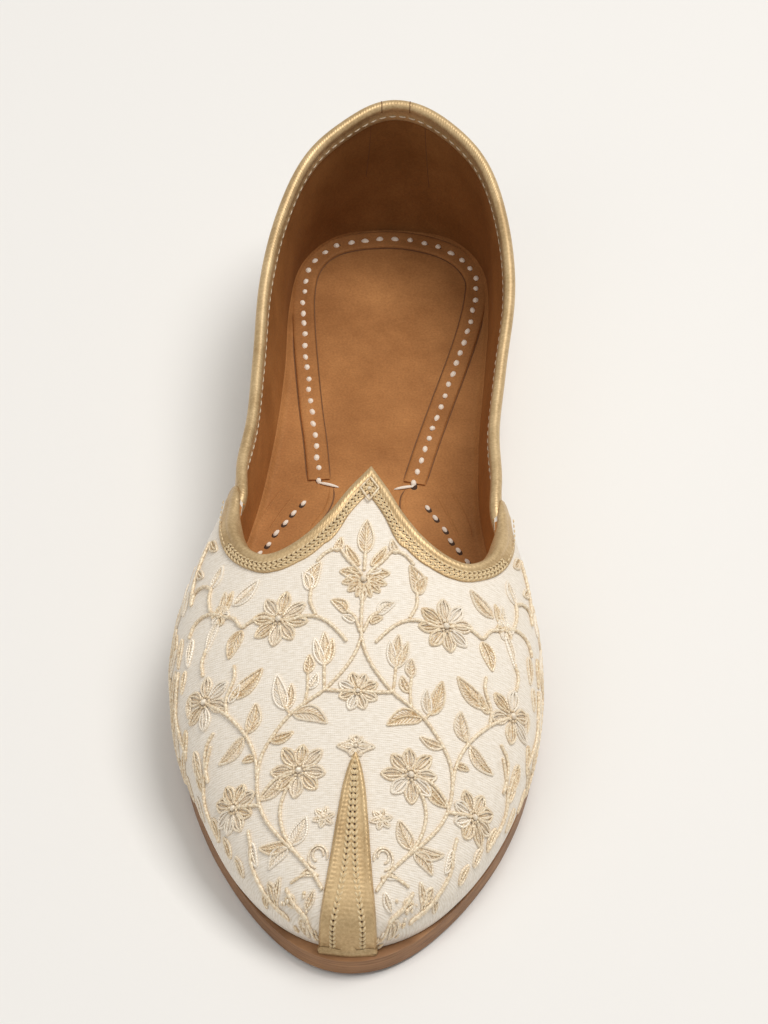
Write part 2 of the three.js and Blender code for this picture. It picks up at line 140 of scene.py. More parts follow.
def lastNormal(side, angle, girth):
    step = 1e-3
    along = lastPoint(side, np.minimum(np.pi, angle + step), girth)
    along = along - lastPoint(side, np.maximum(0, angle - step), girth)
    up = lastPoint(side, angle, np.minimum(2, girth + step))
    up = up - lastPoint(side, angle, np.maximum(0, girth - step))
    normal = unit(np.cross(along, up)) * np.asarray(side, float)[..., None]
    height = lastPoint(side, angle, girth)[..., 2] - baseHeight
    normal[..., 2] = normal[..., 2] * smoothStep(height, 0, shoe["levelFoot"])
    return unit(normal)


def offsetPoint(side, angle, girth, offset):
    lift = np.asarray(offset, float)[..., None]
    return lastPoint(side, angle, girth) + lastNormal(side, angle, girth) * lift


girthSteps = np.linspace(0, 2, 801)
spreadSteps = np.where(girthSteps < 1, 1, np.cos((girthSteps - 1) * np.pi / 2))
spreadSteps = spreadSteps * (1 - shoe["footShare"]) + (1 - girthSteps / 2) * shoe["footShare"]


def spreadOf(girth):
    return np.interp(girth, girthSteps, spreadSteps)


def girthOfSpread(spread):
    return np.interp(spread, spreadSteps[::-1], girthSteps[::-1])


def topLine(side, share):  # the throat up to the ear, then the collar round to the heel
    ear = shoe["earShare"]
    along = np.clip(share / ear, 0, 1) * (len(throatRows) - 1)
    throatAngle = angleAt(throatColumn[0](along), toeEnd, heelEnd)
    half = np.where(side > 0, throatColumn[1](along), throatColumn[2](along))
    wide = halfWidth(side, throatAngle, 3, 4)
    throatGirth = 1 + (2 / np.pi) * np.arccos(np.clip(half / wide, 0, 1))
    turn = np.clip((share - ear) / (1 - ear), 0, 1)
    earAngle = angleAt(throatRows[-1][0], toeEnd, heelEnd)
    angle = earAngle + (np.pi - earAngle) * turn
    earHalf = np.where(side > 0, throatRows[-1][1], throatRows[-1][2])
    earWide = halfWidth(side, earAngle, 3, 4)
    earGirth = 1 + (2 / np.pi) * np.arccos(np.clip(earHalf / earWide, 0, 1))
    earHeight = lastPoint(side, earAngle, earGirth)[..., 2] - baseHeight
    height = collarHeight(stationAt(angle, toeEnd, heelEnd)) - baseHeight
    height = height + (earHeight - height) * np.exp(-12 * turn)
    at, ridge = lastColumn[5](angle), lastColumn[6](angle)
    upper = 1 + (2 / np.pi) * np.arcsin(np.clip((height - at) / (ridge - at), 0, 1))
    girth = np.where(height < at, height / at, upper)
    onThroat = share <= ear
    return np.where(onThroat, throatAngle, angle), np.where(onThroat, throatGirth, girth)


def wallPlace(side, share, rise):  # rise: 0 at the sole, 1 at the top line
    foot = share * np.pi
    topAngle, topGirth = topLine(side, share)
    uprightAngle, uprightGirth = foot + (topAngle - foot) * rise, topGirth * rise
    ease = smoothStep(share, shoe["easeFrom"], shoe["easeTo"])
    low = halfWidth(side, foot, 3, 4)
    high = halfWidth(side, topAngle, 3, 4) * spreadOf(topGirth)
    spread = low + (high - low) * rise
    footStation, topStation = stationAt(foot, toeEnd, heelEnd), stationAt(topAngle, toeEnd, heelEnd)
    angle = angleAt(footStation + (topStation - footStation) * rise, toeEnd, heelEnd)
    wide = halfWidth(side, angle, 3, 4)
    girth = girthOfSpread(np.clip(spread / np.maximum(wide, 1e-6), 0, 1))
    girth = np.where(rise <= 0, 0, girth)
    return angle + (uprightAngle - angle) * ease, girth + (uprightGirth - girth) * ease


def wallPoint(side, share, rise, offset):
    angle, girth = wallPlace(side, share, rise)
    return offsetPoint(side, angle, girth, offset)


def edgeAt(side, share):  # down the wall from the top line, its scale, and the slant to the edge
    step = 1e-3
    one = np.ones_like(share)
    top = wallPoint(side, share, one, 0 * one)
    down = wallPoint(side, share, one - step, 0 * one) - top
    perRise = np.linalg.norm(down, axis=-1) / step
    down = unit(down)
    first = np.where(share > shoe["earShare"], shoe["earShare"] + 1e-6, 0)
    last = np.where(share > shoe["earShare"], 1, shoe["earShare"])
    along = wallPoint(side, np.minimum(share + step, last), one, 0 * one)
    along = unit(along - wallPoint(side, np.maximum(share - step, first), one, 0 * one))
    slant = 1 / np.maximum(0.35, np.linalg.norm(np.cross(along, down), axis=-1))
    return down, perRise, slant


def edgePoint(side, share, offset, below):  # below: mm under the top line, square to it
    side, share, offset, below = np.broadcast_arrays(side, share, offset, below)
    share, offset, below = share.astype(float), offset.astype(float), below.astype(float)
    down, perRise, slant = edgeAt(side, share)
    rise = 1 - np.maximum(below, 0) * slant / perRise
    point = wallPoint(side, share, rise, offset)
    return point + down * (np.minimum(below, 0) * slant)[..., None]


def springRise(station):
    share = np.maximum(0, (shoe["springStart"] - station) / shoe["springStart"])
    return shoe["toeSpring"] * share * share


def toFrame(points):  # from the shoe's own millimetres to the frame's metres
    points = np.array(points, float)
    points[..., 2] += springRise(points[..., 1])
    points[..., 0] -= shoe["originSide"]
    points[..., 1] -= shoe["originStation"]
    return points * 0.001


# the vamp laid flat, in mm: across runs round the girth from the ridge, along up the ridge from the sole
flatAngles = np.linspace(0, float(angleAt(150, toeEnd, heelEnd)), 500)
ridgeLine = offsetPoint(np.ones(500), flatAngles, np.full(500, 2.0), np.full(500, shoe["vampOuter"]))
flatAlong = np.concatenate([[0], np.cumsum(np.linalg.norm(np.diff(ridgeLine, axis=0), axis=1))])
flatAcross = np.linspace(0, 90, 181)
flatGirth = {}
for sideSign in (1, -1):
    girths = np.linspace(2, 0, 241)
    a, g = np.meshgrid(flatAngles, girths, indexing="ij")
    skin = offsetPoint(np.full(a.shape, sideSign), a, g, np.full(a.shape, shoe["vampOuter"]))
    lengths = np.cumsum(np.linalg.norm(np.diff(skin, axis=1), axis=2), axis=1)
    lengths = np.concatenate([np.zeros((len(a), 1)), lengths], axis=1)
    flatGirth[sideSign] = np.array([np.interp(flatAcross, row, girths) for row in lengths])


def vampSpot(across, along, lift):
    across, along, lift = np.broadcast_arrays(across, along, lift)
    side = np.where(across >= 0, 1, -1)
    row = np.clip(np.interp(along, flatAlong, np.arange(len(flatAlong))), 0, len(flatAlong) - 1.001)
    column = np.clip(np.abs(across) / (flatAcross[1] - flatAcross[0]), 0, len(flatAcross) - 1.001)
    r, c = row.astype(int), column.astype(int)
    fr, fc = row - r, column - c
    girth = np.zeros(across.shape)
    for sideSign, table in flatGirth.items():
        near = table[r, c] * (1 - fc) + table[r, c + 1] * fc
        far = table[r + 1, c] * (1 - fc) + table[r + 1, c + 1] * fc
        girth = np.where(side == sideSign, near * (1 - fr) + far * fr, girth)
    angle = np.interp(along, flatAlong, flatAngles)
    return offsetPoint(side, angle, girth, shoe["vampOuter"] + lift)


def flatPlace(side, angle, girth):  # the reverse: the flat place of points of the last
    along = np.interp(angle, flatAngles, flatAlong)
    row = np.interp(angle, flatAngles, np.arange(len(flatAngles)))
    r = np.clip(row.astype(int), 0, len(flatAngles) - 1)
    across = np.zeros(girth.shape)
    for index in np.ndindex(girth.shape):
        table = flatGirth[1 if side[index] > 0 else -1][r[index]]
        across[index] = np.interp(-girth[index], -table, flatAcross)
    return across * side, along


def clearSelection():
    if bpy.context.object and bpy.context.object.mode != "OBJECT":
        bpy.ops.object.mode_set(mode="OBJECT")
    bpy.ops.object.select_all(action="DESELECT")


def makeActive(obj):
    clearSelection()
    obj.select_set(True)
    bpy.context.view_layer.objects.active = obj


def applyModifier(obj, kind, **settings):
    makeActive(obj)
    modifier = obj.modifiers.new(kind.title(), kind)
    for key, value in settings.items():
        setattr(modifier, key, value)
    bpy.ops.object.modifier_apply(modifier=modifier.name)


def editMesh(obj, *steps):  # runs edit-mode operators on the whole mesh
    makeActive(obj)
    bpy.ops.object.mode_set(mode="EDIT")
    bpy.ops.mesh.select_all(action="SELECT")
    for operator, settings in steps:
        operator(**settings)
    bpy.ops.object.mode_set(mode="OBJECT")


def storeAttribute(mesh, name, kind, values):
    attribute = mesh.attributes.new(name, kind, "POINT")
    field = "vector" if kind == "FLOAT_VECTOR" else "value"
    attribute.data.foreach_set(field, np.asarray(values, np.float32).ravel())


def gridSheet(name, points, weave=None, outward=None):
    # a flat grid whose rows and columns are laid on points[row][column], in metres
    rows, columns = points.shape[:2]
    clearSelection()
    bpy.ops.mesh.primitive_grid_add(x_subdivisions=columns - 1, y_subdivisions=rows - 1, size=2)
    obj = bpy.context.object
    obj.name = name
    flat = np.empty(len(obj.data.vertices) * 3)
    obj.data.vertices.foreach_get("co", flat)
    flat = flat.reshape(-1, 3)
    column = np.rint((flat[:, 0] + 1) / 2 * (columns - 1)).astype(int)
    row = np.rint((flat[:, 1] + 1) / 2 * (rows - 1)).astype(int)
    obj.data.vertices.foreach_set("co", points[row, column].ravel())
    if weave is not None:
        storeAttribute(obj.data, "weave", "FLOAT_VECTOR", weave[row, column])
    obj.data.update()
    if outward is not None:
        normals = np.empty(len(obj.data.vertices) * 3)
        obj.data.vertices.foreach_get("normal", normals)
        if np.sum(normals.reshape(-1, 3) * outward[row, column]) < 0:
            editMesh(obj, (bpy.ops.mesh.flip_normals, {}))
    return obj


def joinedMesh(name, heap):  # heap: lists of (vertices in metres, faces, tone) made alike
    vertices, faces, tones, alongs, start = [], [], [], [], 0
    for points, quads, tone, along in heap:
        vertices.append(points)
        faces.extend([[start + i for i in face] for face in quads])
        tones.append(np.full(len(points), tone))
        alongs.append(along)
        start += len(points)
    mesh = bpy.data.meshes.new(name)
    mesh.from_pydata(np.concatenate(vertices).tolist(), [], faces)
    storeAttribute(mesh, "tone", "FLOAT", np.concatenate(tones))
    storeAttribute(mesh, "along", "FLOAT", np.concatenate(alongs))
    mesh.update()
    obj = bpy.data.objects.new(name, mesh)
    bpy.context.scene.collection.objects.link(obj)
    editMesh(obj, (bpy.ops.mesh.normals_make_consistent, {"inside": False}))
    return obj


def tubeFaces(rings, sides, closed=False):
    faces = []
    for i in range(rings if closed else rings - 1):
        here, there = i * sides, ((i + 1) % rings) * sides
        for j in range(sides):
            k = (j + 1) % sides
            faces.append((here + j, here + k, there + k, there + j))
    if not closed:
        faces.append(tuple(range(sides))[::-1])
        faces.append(tuple((rings - 1) * sides + j for j in range(sides)))
    return faces


def ringTube(rings, along, tone=0.0):  # one entry of a heap: a tube through rings given in mm
    sides = rings.shape[1]
    return toFrame(rings.reshape(-1, 3)), tubeFaces(len(rings), sides), tone, np.repeat(along, sides)


def evenPath(points, step, closed=False):  # a smooth curve through given points, at even steps
    points = np.array(points, float)
    if closed:
        points = np.concatenate([points, points[:1]])
    if len(points) == 2:
        fine = points[0] + (points[1] - points[0]) * np.linspace(0, 1, 30)[:, None]
    else:
        padded = np.concatenate([points[-2:-1] if closed else 2 * points[:1] - points[1:2], points,
                                 points[1:2] if closed else 2 * points[-1:] - points[-2:-1]])
        pieces = []
        t = np.linspace(0, 1, 24, endpoint=False)[:, None]
        for p0, p1, p2, p3 in zip(padded, padded[1:], padded[2:], padded[3:]):
            cubic = (2 * p1 + (p2 - p0) * t + (2 * p0 - 5 * p1 + 4 * p2 - p3) * t ** 2
                     + (3 * p1 - p0 - 3 * p2 + p3) * t ** 3) / 2
            pieces.append(cubic)
        fine = np.concatenate(pieces + [points[-1:]])
    lengths = np.concatenate([[0], np.cumsum(np.linalg.norm(np.diff(fine, axis=0), axis=1))])
    count = max(3, int(round(lengths[-1] / step)) + 1)
    marks = np.linspace(0, lengths[-1], count)
    return np.stack([np.interp(marks, lengths, fine[:, k]) for k in range(fine.shape[1])], axis=1)


def pathLengths(path):
    return np.concatenate([[0], np.cumsum(np.linalg.norm(np.diff(path, axis=0), axis=1))])


def smoothShade(obj, angle=60):
    makeActive(obj)
    bpy.ops.object.shade_smooth_by_angle(angle=math.radians(angle))


def finishPiece(obj, material, slotName, *nodes):
    obj.data.materials.clear()
    obj.data.materials.append(material)
    smoothShade(obj)
    if nodes:
        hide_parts(*nodes)
    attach(obj, "root")


def nodeSet(name):
    material = bpy.data.materials.new(name)
    material.use_nodes = True
    tree = material.node_tree
    return material, tree, tree.nodes["Principled BSDF"]


def addNode(tree, kind, **settings):
    node = tree.nodes.new(kind)
    for key, value in settings.items():
        if key in node.inputs:
            node.inputs[key].default_value = value
        else:
            setattr(node, key, value)
    return node


def mixColours(tree, factor, first, second, blend="MIX"):
    node = addNode(tree, "ShaderNodeMix", data_type="RGBA", blend_type=blend)
    for socket, value in ((node.inputs[0], factor), (node.inputs[6], first), (node.inputs[7], second)):
        if isinstance(value, (float, int, tuple)):
            socket.default_value = value
        else:
            tree.links.new(value, socket)
    return node.outputs[2]


def ramp(tree, value, *stops):  # stops: (position, grey or colour)
    node = addNode(tree, "ShaderNodeValToRGB")
    elements = node.color_ramp.elements
    while len(elements) < len(stops):
        elements.new(0.5)
    for element, (position, colour) in zip(elements, stops):
        element.position = position
        element.color = colour if isinstance(colour, tuple) else (colour, colour, colour, 1)
    tree.links.new(value, node.inputs[0])
    return node.outputs[0]


def math2(tree, operation, a, b=0.0, c=0.0):
    node = addNode(tree, "ShaderNodeMath", operation=operation)
    for socket, value in zip(node.inputs, (a, b, c)):
        if isinstance(value, (float, int)):
            socket.default_value = value
        else:
            tree.links.new(value, socket)
    return node.outputs[0]


def weightedSum(tree, first, firstShare, second, secondShare):
    parts = math2(tree, "MULTIPLY", first, firstShare), math2(tree, "MULTIPLY", second, secondShare)
    return math2(tree, "ADD", *parts)


def noise(tree, vector, scale, detail=2.0, roughness=0.5):
    node = addNode(tree, "ShaderNodeTexNoise", Scale=scale, Detail=detail, Roughness=roughness)
    tree.links.new(vector, node.inputs["Vector"])
    return node.outputs[0]


def stretched(tree, vector, x, y, z):
    node = addNode(tree, "ShaderNodeMapping", Scale=(x, y, z))
    tree.links.new(vector, node.inputs["Vector"])
    return node.outputs[0]


def objectPlace(tree):
    return addNode(tree, "ShaderNodeTexCoord").outputs["Object"]


def namedAttribute(tree, name, output="Fac"):
    return addNode(tree, "ShaderNodeAttribute", attribute_name=name).outputs[output]


def bumpInto(tree, shader, layers):  # layers: (height, strength, distance in metres)
    normal = None
    for height, strength, distance in layers:
        node = addNode(tree, "ShaderNodeBump", Strength=strength, Distance=distance)
        tree.links.new(height, node.inputs["Height"])
        if normal:
            tree.links.new(normal, node.inputs["Normal"])
        normal = node.outputs[0]
    tree.links.new(normal, shader.inputs["Normal"])


leather = dict(
    wallDark=(0.370, 0.146, 0.038, 1), wallLight=(0.590, 0.262, 0.080, 1),
    liningDark=(0.350, 0.142, 0.042, 1), liningLight=(0.560, 0.255, 0.088, 1),
    soleDark=(0.180, 0.080, 0.030, 1), soleLight=(0.400, 0.205, 0.092, 1),
    goldDark=(0.400, 0.255, 0.110, 1), goldLight=(0.720, 0.530, 0.290, 1),
)
cloth = dict(silkDark=(0.77, 0.69, 0.575, 1), silkLight=(0.935, 0.868, 0.775, 1), threadPitch=0.62)
thread = dict(goldDark=(0.66, 0.47, 0.26, 1), goldLight=(0.93, 0.79, 0.56, 1), ivory=(0.97, 0.92, 0.84, 1))


def liningLeather(name, dark, light, heelShade):
    material, tree, shader = nodeSet(name)
    place = objectPlace(tree)
    cloudy = ramp(tree, noise(tree, place, 45, 4, 0.6), (0.3, 0.0), (0.72, 1.0))
    colour = mixColours(tree, cloudy, dark, light)
    fine = noise(tree, place, 1600, 3, 0.6)
    colour = mixColours(tree, 0.25, colour, ramp(tree, fine, (0.3, 0.25), (0.7, 0.8)), "OVERLAY")
    # painted shade: the colour darkens towards the heel's back, where the inside of the heel lies in
    # shadow; heelShade is the colour's factor at the very back
    split = addNode(tree, "ShaderNodeSeparateXYZ")
    tree.links.new(place, split.inputs[0])
    back = math2(tree, "MULTIPLY_ADD", split.outputs[1], 5.0, 0.2)  # grows towards the heel; drives the painted shade below
    heel = ramp(tree, back, (0.15, 1.0), (0.85, heelShade))
    colour = mixColours(tree, 1.0, colour, heel, "MULTIPLY")
    tree.links.new(colour, shader.inputs["Base Color"])
    polish = ramp(tree, noise(tree, place, 90, 3), (0.2, 0.62), (0.8, 0.78))
    tree.links.new(polish, shader.inputs["Roughness"])
    shader.inputs["Specular IOR Level"].default_value = 0.22
    bumpInto(tree, shader, [(noise(tree, place, 110, 3), 0.12, 0.002), (fine, 0.18, 0.0003)])
    return material


def soleLeather():
    material, tree, shader = nodeSet("soleLeather")
    place = objectPlace(tree)
    layers = noise(tree, stretched(tree, place, 60, 60, 2600), 1.0, 4, 0.55)
    cloudy = noise(tree, place, 60, 3, 0.6)
    worn = weightedSum(tree, layers, 0.65, cloudy, 0.4)
    pale = ramp(tree, worn, (0.36, 0.0), (0.66, 1.0))
    colour = mixColours(tree, pale, leather["soleDark"], leather["soleLight"])
    tree.links.new(colour, shader.inputs["Base Color"])
    shader.inputs["Roughness"].default_value = 0.5
    bumpInto(tree, shader, [(layers, 0.25, 0.0004), (noise(tree, place, 700, 3), 0.15, 0.0003)])
    return material


def goldLeather(name, ribs):
    material, tree, shader = nodeSet(name)
    place = objectPlace(tree)
    grain = noise(tree, place, 1300, 3, 0.6)
    along = namedAttribute(tree, "along")
    ribbing = math2(tree, "SINE", math2(tree, "MULTIPLY", along, ribs))
    ribbing = math2(tree, "ADD", ribbing, math2(tree, "MULTIPLY", noise(tree, place, 500, 2), 1.2))
    cloudy = noise(tree, place, 90, 3, 0.5)
    pale = ramp(tree, weightedSum(tree, grain, 0.5, cloudy, 0.5), (0.30, 0.0), (0.66, 1.0))
    colour = mixColours(tree, pale, leather["goldDark"], leather["goldLight"])
    tree.links.new(colour, shader.inputs["Base Color"])
    shader.inputs["Metallic"].default_value = 0.4
    tree.links.new(ramp(tree, grain, (0.3, 0.36), (0.7, 0.46)), shader.inputs["Roughness"])
    bumpInto(tree, shader, [(ribbing, 0.10, 0.0002), (grain, 0.10, 0.00012)])
    return material


def rawSilk():
    material, tree, shader = nodeSet("rawSilk")
    weave = namedAttribute(tree, "weave", "Vector")
    pitch = 2 * math.pi / cloth["threadPitch"]
    split = addNode(tree, "ShaderNodeSeparateXYZ")
    tree.links.new(weave, split.inputs[0])
    slub = noise(tree, stretched(tree, weave, 0.16, 1.7, 1), 1.0, 3, 0.6)
    fineSlub = noise(tree, stretched(tree, weave, 0.5, 3.2, 1), 1.0, 2, 0.5)
    weft = weightedSum(tree, split.outputs[1], pitch, slub, 5.0)
    weftRidge = math2(tree, "SINE", weft)
    warpRidge = math2(tree, "SINE", math2(tree, "MULTIPLY", split.outputs[0], pitch * 1.15))
    cross = weightedSum(tree, weftRidge, 0.65, warpRidge, 0.35)
    pale = ramp(tree, weightedSum(tree, cross, 0.10, fineSlub, 0.9), (0.28, 0.0), (0.60, 1.0))
    colour = mixColours(tree, pale, cloth["silkDark"], cloth["silkLight"])
    tree.links.new(colour, shader.inputs["Base Color"])
    shader.inputs["Roughness"].default_value = 0.62
    shader.inputs["Sheen Weight"].default_value = 0.25
    shader.inputs["Sheen Roughness"].default_value = 0.4
    bumpInto(tree, shader, [(cross, 0.22, 0.00013), (slub, 0.10, 0.0003)])
    return material


def metalThread(name, ply):
    material, tree, shader = nodeSet(name)
    place = objectPlace(tree)
    tone = namedAttribute(tree, "tone")
    twist = math2(tree, "SINE", math2(tree, "MULTIPLY", namedAttribute(tree, "along"), ply))
    glint = noise(tree, place, 1500, 2, 0.5)
    pale = ramp(tree, glint, (0.35, 0.0), (0.62, 1.0))
    colour = mixColours(tree, pale, thread["goldDark"], thread["goldLight"])
    colour = mixColours(tree, tone, colour, thread["ivory"])
    tree.links.new(colour, shader.inputs["Base Color"])
    shader.inputs["Metallic"].default_value = 0.08
    shader.inputs["Roughness"].default_value = 0.40
    bumpInto(tree, shader, [(twist, 0.35, 0.00012), (glint, 0.15, 0.0001)])
    return material


def plainMaterial(name, colour, roughness, grain, depth=0.72):
    material, tree, shader = nodeSet(name)
    place = objectPlace(tree)
    fine = noise(tree, place, grain, 3, 0.6)
    darker = tuple(c * depth for c in colour[:3]) + (1,)
    mottled = mixColours(tree, ramp(tree, fine, (0.3, 0.0), (0.65, 1.0)), darker, colour)
    tree.links.new(mottled, shader.inputs["Base Color"])
    shader.inputs["Roughness"].default_value = roughness
    bumpInto(tree, shader, [(fine, 0.3, 0.0002)])
    return material


# both leathers get painted shade towards the heel's back: the insole down to 0.8, the wall down to 0.55
liningMaterial = liningLeather("liningLeather", leather["liningDark"], leather["liningLight"], 0.8)
wallMaterial = liningLeather("wallLeather", leather["wallDark"], leather["wallLight"], 0.55)
soleMaterial = soleLeather()
goldRolled, goldFlat = goldLeather("goldRolled", 7.0), goldLeather("goldFlat", 5.0)
silkMaterial = rawSilk()
cordMaterial, satinMaterial = metalThread("cordThread", 6.0), metalThread("satinThread", 9.0)
braidMaterial = plainMaterial("braidThread", (0.80, 0.62, 0.36, 1), 0.42, 1500)
cottonMaterial = plainMaterial("waxedCotton", (1.0, 0.89, 0.76, 1), 0.55, 2200, 0.92)
# painted shade: dark marks standing in for the shadow inside needle holes and in the gaps of the braids
holeShadeMaterial = plainMaterial("needleHoleShade", (0.07, 0.030, 0.012, 1), 0.8, 900)
seamMaterial = plainMaterial("seamShade", (0.20, 0.085, 0.030, 1), 0.7, 900)
print("materials ready")


def makeOutsole():
    steps, lanes = 150, 28
    angle = np.linspace(0, np.pi, steps)[:, None] * np.ones(lanes)
    lane = np.ones((steps, 1)) * np.linspace(-1, 1, lanes)
    half = np.where(lane > 0, soleMedial(angle), soleLateral(angle))
    station = stationAt(angle, 0, shoe["soleLength"])
    height = np.full(lane.shape, float(shoe["soleThickness"]))
    top = toFrame(np.stack([lane * half, station, height], axis=-1))
    obj = gridSheet("outsole_leather", top, outward=np.zeros(top.shape) + (0, 0, 1))
    editMesh(obj, (bpy.ops.mesh.remove_doubles, {"threshold": 0.00002}))
    applyModifier(obj, "SOLIDIFY", thickness=shoe["soleThickness"] * 0.001, offset=-1,
                  use_even_offset=False)
    applyModifier(obj, "BEVEL", width=0.0007, segments=3, limit_method="ANGLE",
                  angle_limit=math.radians(50))
    for vertex in obj.data.vertices:  # the hollow under the waist
        if vertex.co.z < 0.0025:
            share = vertex.co.y * 1000 + shoe["originStation"] - shoe["archFrom"]
            share = share / (shoe["archTo"] - shoe["archFrom"])
            vertex.co.z += shoe["arch"] * 0.001 * math.sin(min(max(share, 0), 1) * math.pi) ** 2
    finishPiece(obj, soleMaterial, "sole_leather", "outsole")


collarRoll = dict(
    centreOut=0.9, centreBelow=0.6, radius=1.65, flangeBelow=5.7, stitchBelow=3.8,
    frontEnd=113, frontDrop=0.55, frontTaper=6, tuck=1.0, tuckFrom=-26, tuckTo=2, smoothing=12,
)


def earTuck(angle):  # how far the collar stands inside where it passes behind the vamp's ear
    ahead = throatRows[-1][0] - stationAt(angle, toeEnd, heelEnd)
    return collarRoll["tuck"] * smoothStep(ahead, collarRoll["tuckFrom"], collarRoll["tuckTo"])


def tuckedIn(share, rise):  # the top of the wall leans in with the collar
    return earTuck(topLine(np.ones(share.shape), share)[0]) * smoothStep(rise, 0.55, 1)


def roundHeel(half):  # shares and sides of the columns, round the heel from medial to lateral
    return np.concatenate([half, half[::-1]]), np.concatenate([np.ones(len(half)), -np.ones(len(half))])


def roundToe(half):  # from the lateral ear, round the toe, to the medial ear
    sides = np.concatenate([-np.ones(len(half)), np.ones(len(half) - 1)])
    return np.concatenate([half[::-1], half[1:]]), sides


def wallGrid(shares, sides, rises, offset):
    side, rise = np.meshgrid(sides, rises)
    share = np.meshgrid(shares, rises)[0]
    point = wallPoint(side, share, rise, np.broadcast_to(offset, side.shape).astype(float))
    angle, girth = wallPlace(side, share, rise)
    return toFrame(point), lastNormal(side, angle, girth), side, share, rise


def makeLining():
    ear = shoe["earShare"]
    toEar, toHeel = np.linspace(0, ear, 90, endpoint=False), np.linspace(ear, 1, 80)
    shares, sides = roundHeel(np.concatenate([toEar, toHeel]))
    rises = np.linspace(0, 1, 46) ** 1.2
    shareGrid, riseGrid = np.meshgrid(shares, rises)
    behind = tuckedIn(shareGrid, riseGrid) * (shareGrid > ear - 0.01)
    points, normals = wallGrid(shares, sides, rises, shoe["wall"] * 0.5 - behind)[:2]
    obj = gridSheet("upper_lining", points, outward=normals)
    editMesh(obj, (bpy.ops.mesh.remove_doubles, {"threshold": 0.00002}))
    applyModifier(obj, "SOLIDIFY", thickness=shoe["wall"] * 0.0005, offset=-1, use_rim=True)
    finishPiece(obj, wallMaterial, "lining_leather", "upper")


def makeQuarters():
    shares, sides = roundHeel(np.linspace(shoe["earShare"] - 0.035, 1, 110))  # starts under the vamp
    rises = np.linspace(0, 1, 40)
    shareGrid, riseGrid = np.meshgrid(shares, rises)
    behind = tuckedIn(shareGrid, riseGrid)
    points, normals = wallGrid(shares, sides, rises, shoe["wall"] + 0.1 - behind)[:2]
    metric = points * 1000
    steps = np.linalg.norm(np.diff(metric, axis=1), axis=2)
    across = np.concatenate([np.zeros((len(rises), 1)), np.cumsum(steps, axis=1)], axis=1)
    weave = np.stack([across, metric[..., 2], 0 * across], axis=-1)
    obj = gridSheet("quarter_silk", points, weave=weave, outward=normals)
    editMesh(obj, (bpy.ops.mesh.remove_doubles, {"threshold": 0.00002}))
    applyModifier(obj, "SOLIDIFY", thickness=0.0010, offset=-1, use_rim=True)
    finishPiece(obj, silkMaterial, "silk")


def makeVamp():
    ear = shoe["earShare"]
    shares, sides = roundToe(np.linspace(0, ear, 110))
    rises = np.linspace(0, 1, 90) ** 1.5
    shareGrid, riseGrid = np.meshgrid(shares, rises)
    thinner = 0.9 * smoothStep(shareGrid, ear - 0.09, ear) * smoothStep(riseGrid, 0.5, 1)
    points, normals, side, share, rise = wallGrid(shares, sides, rises, shoe["vampOuter"] - thinner)
    angle, girth = wallPlace(side, share, rise)
    across, along = flatPlace(side, angle, girth)
    weave = np.stack([across, along, 0 * across], axis=-1)
    obj = gridSheet("vamp_silk", points, weave=weave, outward=normals)
    applyModifier(obj, "SOLIDIFY", thickness=0.0010, offset=-1, use_rim=True)
    finishPiece(obj, silkMaterial, "silk", "vamp")


makeOutsole()
makeLining()
makeQuarters()
makeVamp()
print("sole, lining, quarters and vamp ready")


throatBand = dict(width=4.5, braids=(2.45, 3.65), earInside=0.9, earThin=0.47, earTip=2.0, earReach=0.010)


def collarPath(side, steps=170):  # angle and girth of the collar's edge, and how far it stands inside
    ear = shoe["earShare"]
    front = np.linspace(collarRoll["frontEnd"], throatRows[-1][0], 24, endpoint=False)
    frontAngle = angleAt(front, toeEnd, heelEnd)
    at, ridge = lastColumn[5](frontAngle), lastColumn[6](frontAngle)
    earAngle, earGirth = topLine(np.full(1, side), np.full(1, ear + 1e-6))
    earHeight = lastPoint(np.full(1, side), earAngle, earGirth)[0, 2]
    height = earHeight - (throatRows[-1][0] - front) * collarRoll["frontDrop"] - baseHeight
    frontGirth = 1 + (2 / np.pi) * np.arcsin(np.clip((height - at) / (ridge - at), 0, 1))
    share = np.linspace(ear + 1e-6, 1, steps)
    angle, girth = topLine(np.full(steps, side), share)
    angle, girth = np.concatenate([frontAngle, angle]), np.concatenate([frontGirth, girth])
    return angle, girth, earTuck(angle)


def collarPoint(side, offset, below):
    angle, girth, inward = collarPath(side)
    sides = np.full(angle.shape, side)
    edge = lastPoint(sides, angle, girth)
    down = lastPoint(sides, angle, girth - 1e-3) - edge
    perGirth = np.linalg.norm(down, axis=-1, keepdims=True) / 1e-3
    normal = lastNormal(sides, angle, girth)
    if below > 0:
        spot = girth - below / perGirth[:, 0]
        return lastPoint(sides, angle, spot) + lastNormal(sides, angle, spot) * (offset - inward)[:, None]
    return edge + normal * (offset - inward)[:, None] - unit(down) * below * -1


def collarSweep(offset, below):  # round from the medial front, past the heel, to the lateral front
    medial, lateral = collarPoint(1, offset, below), collarPoint(-1, offset, below)
    path = np.concatenate([medial, lateral[::-1][1:]])
    even = evenPath(path, 1.0)
    count = len(path)
    marks = np.linspace(0, len(even) - 1, count)
    even = np.stack([np.interp(marks, np.arange(len(even)), even[:, k]) for k in range(3)], axis=1)
    soft = even.copy()
    for again in range(collarRoll["smoothing"]):
        soft[1:-1] = (soft[:-2] + 2 * soft[1:-1] + soft[2:]) / 4
    return soft


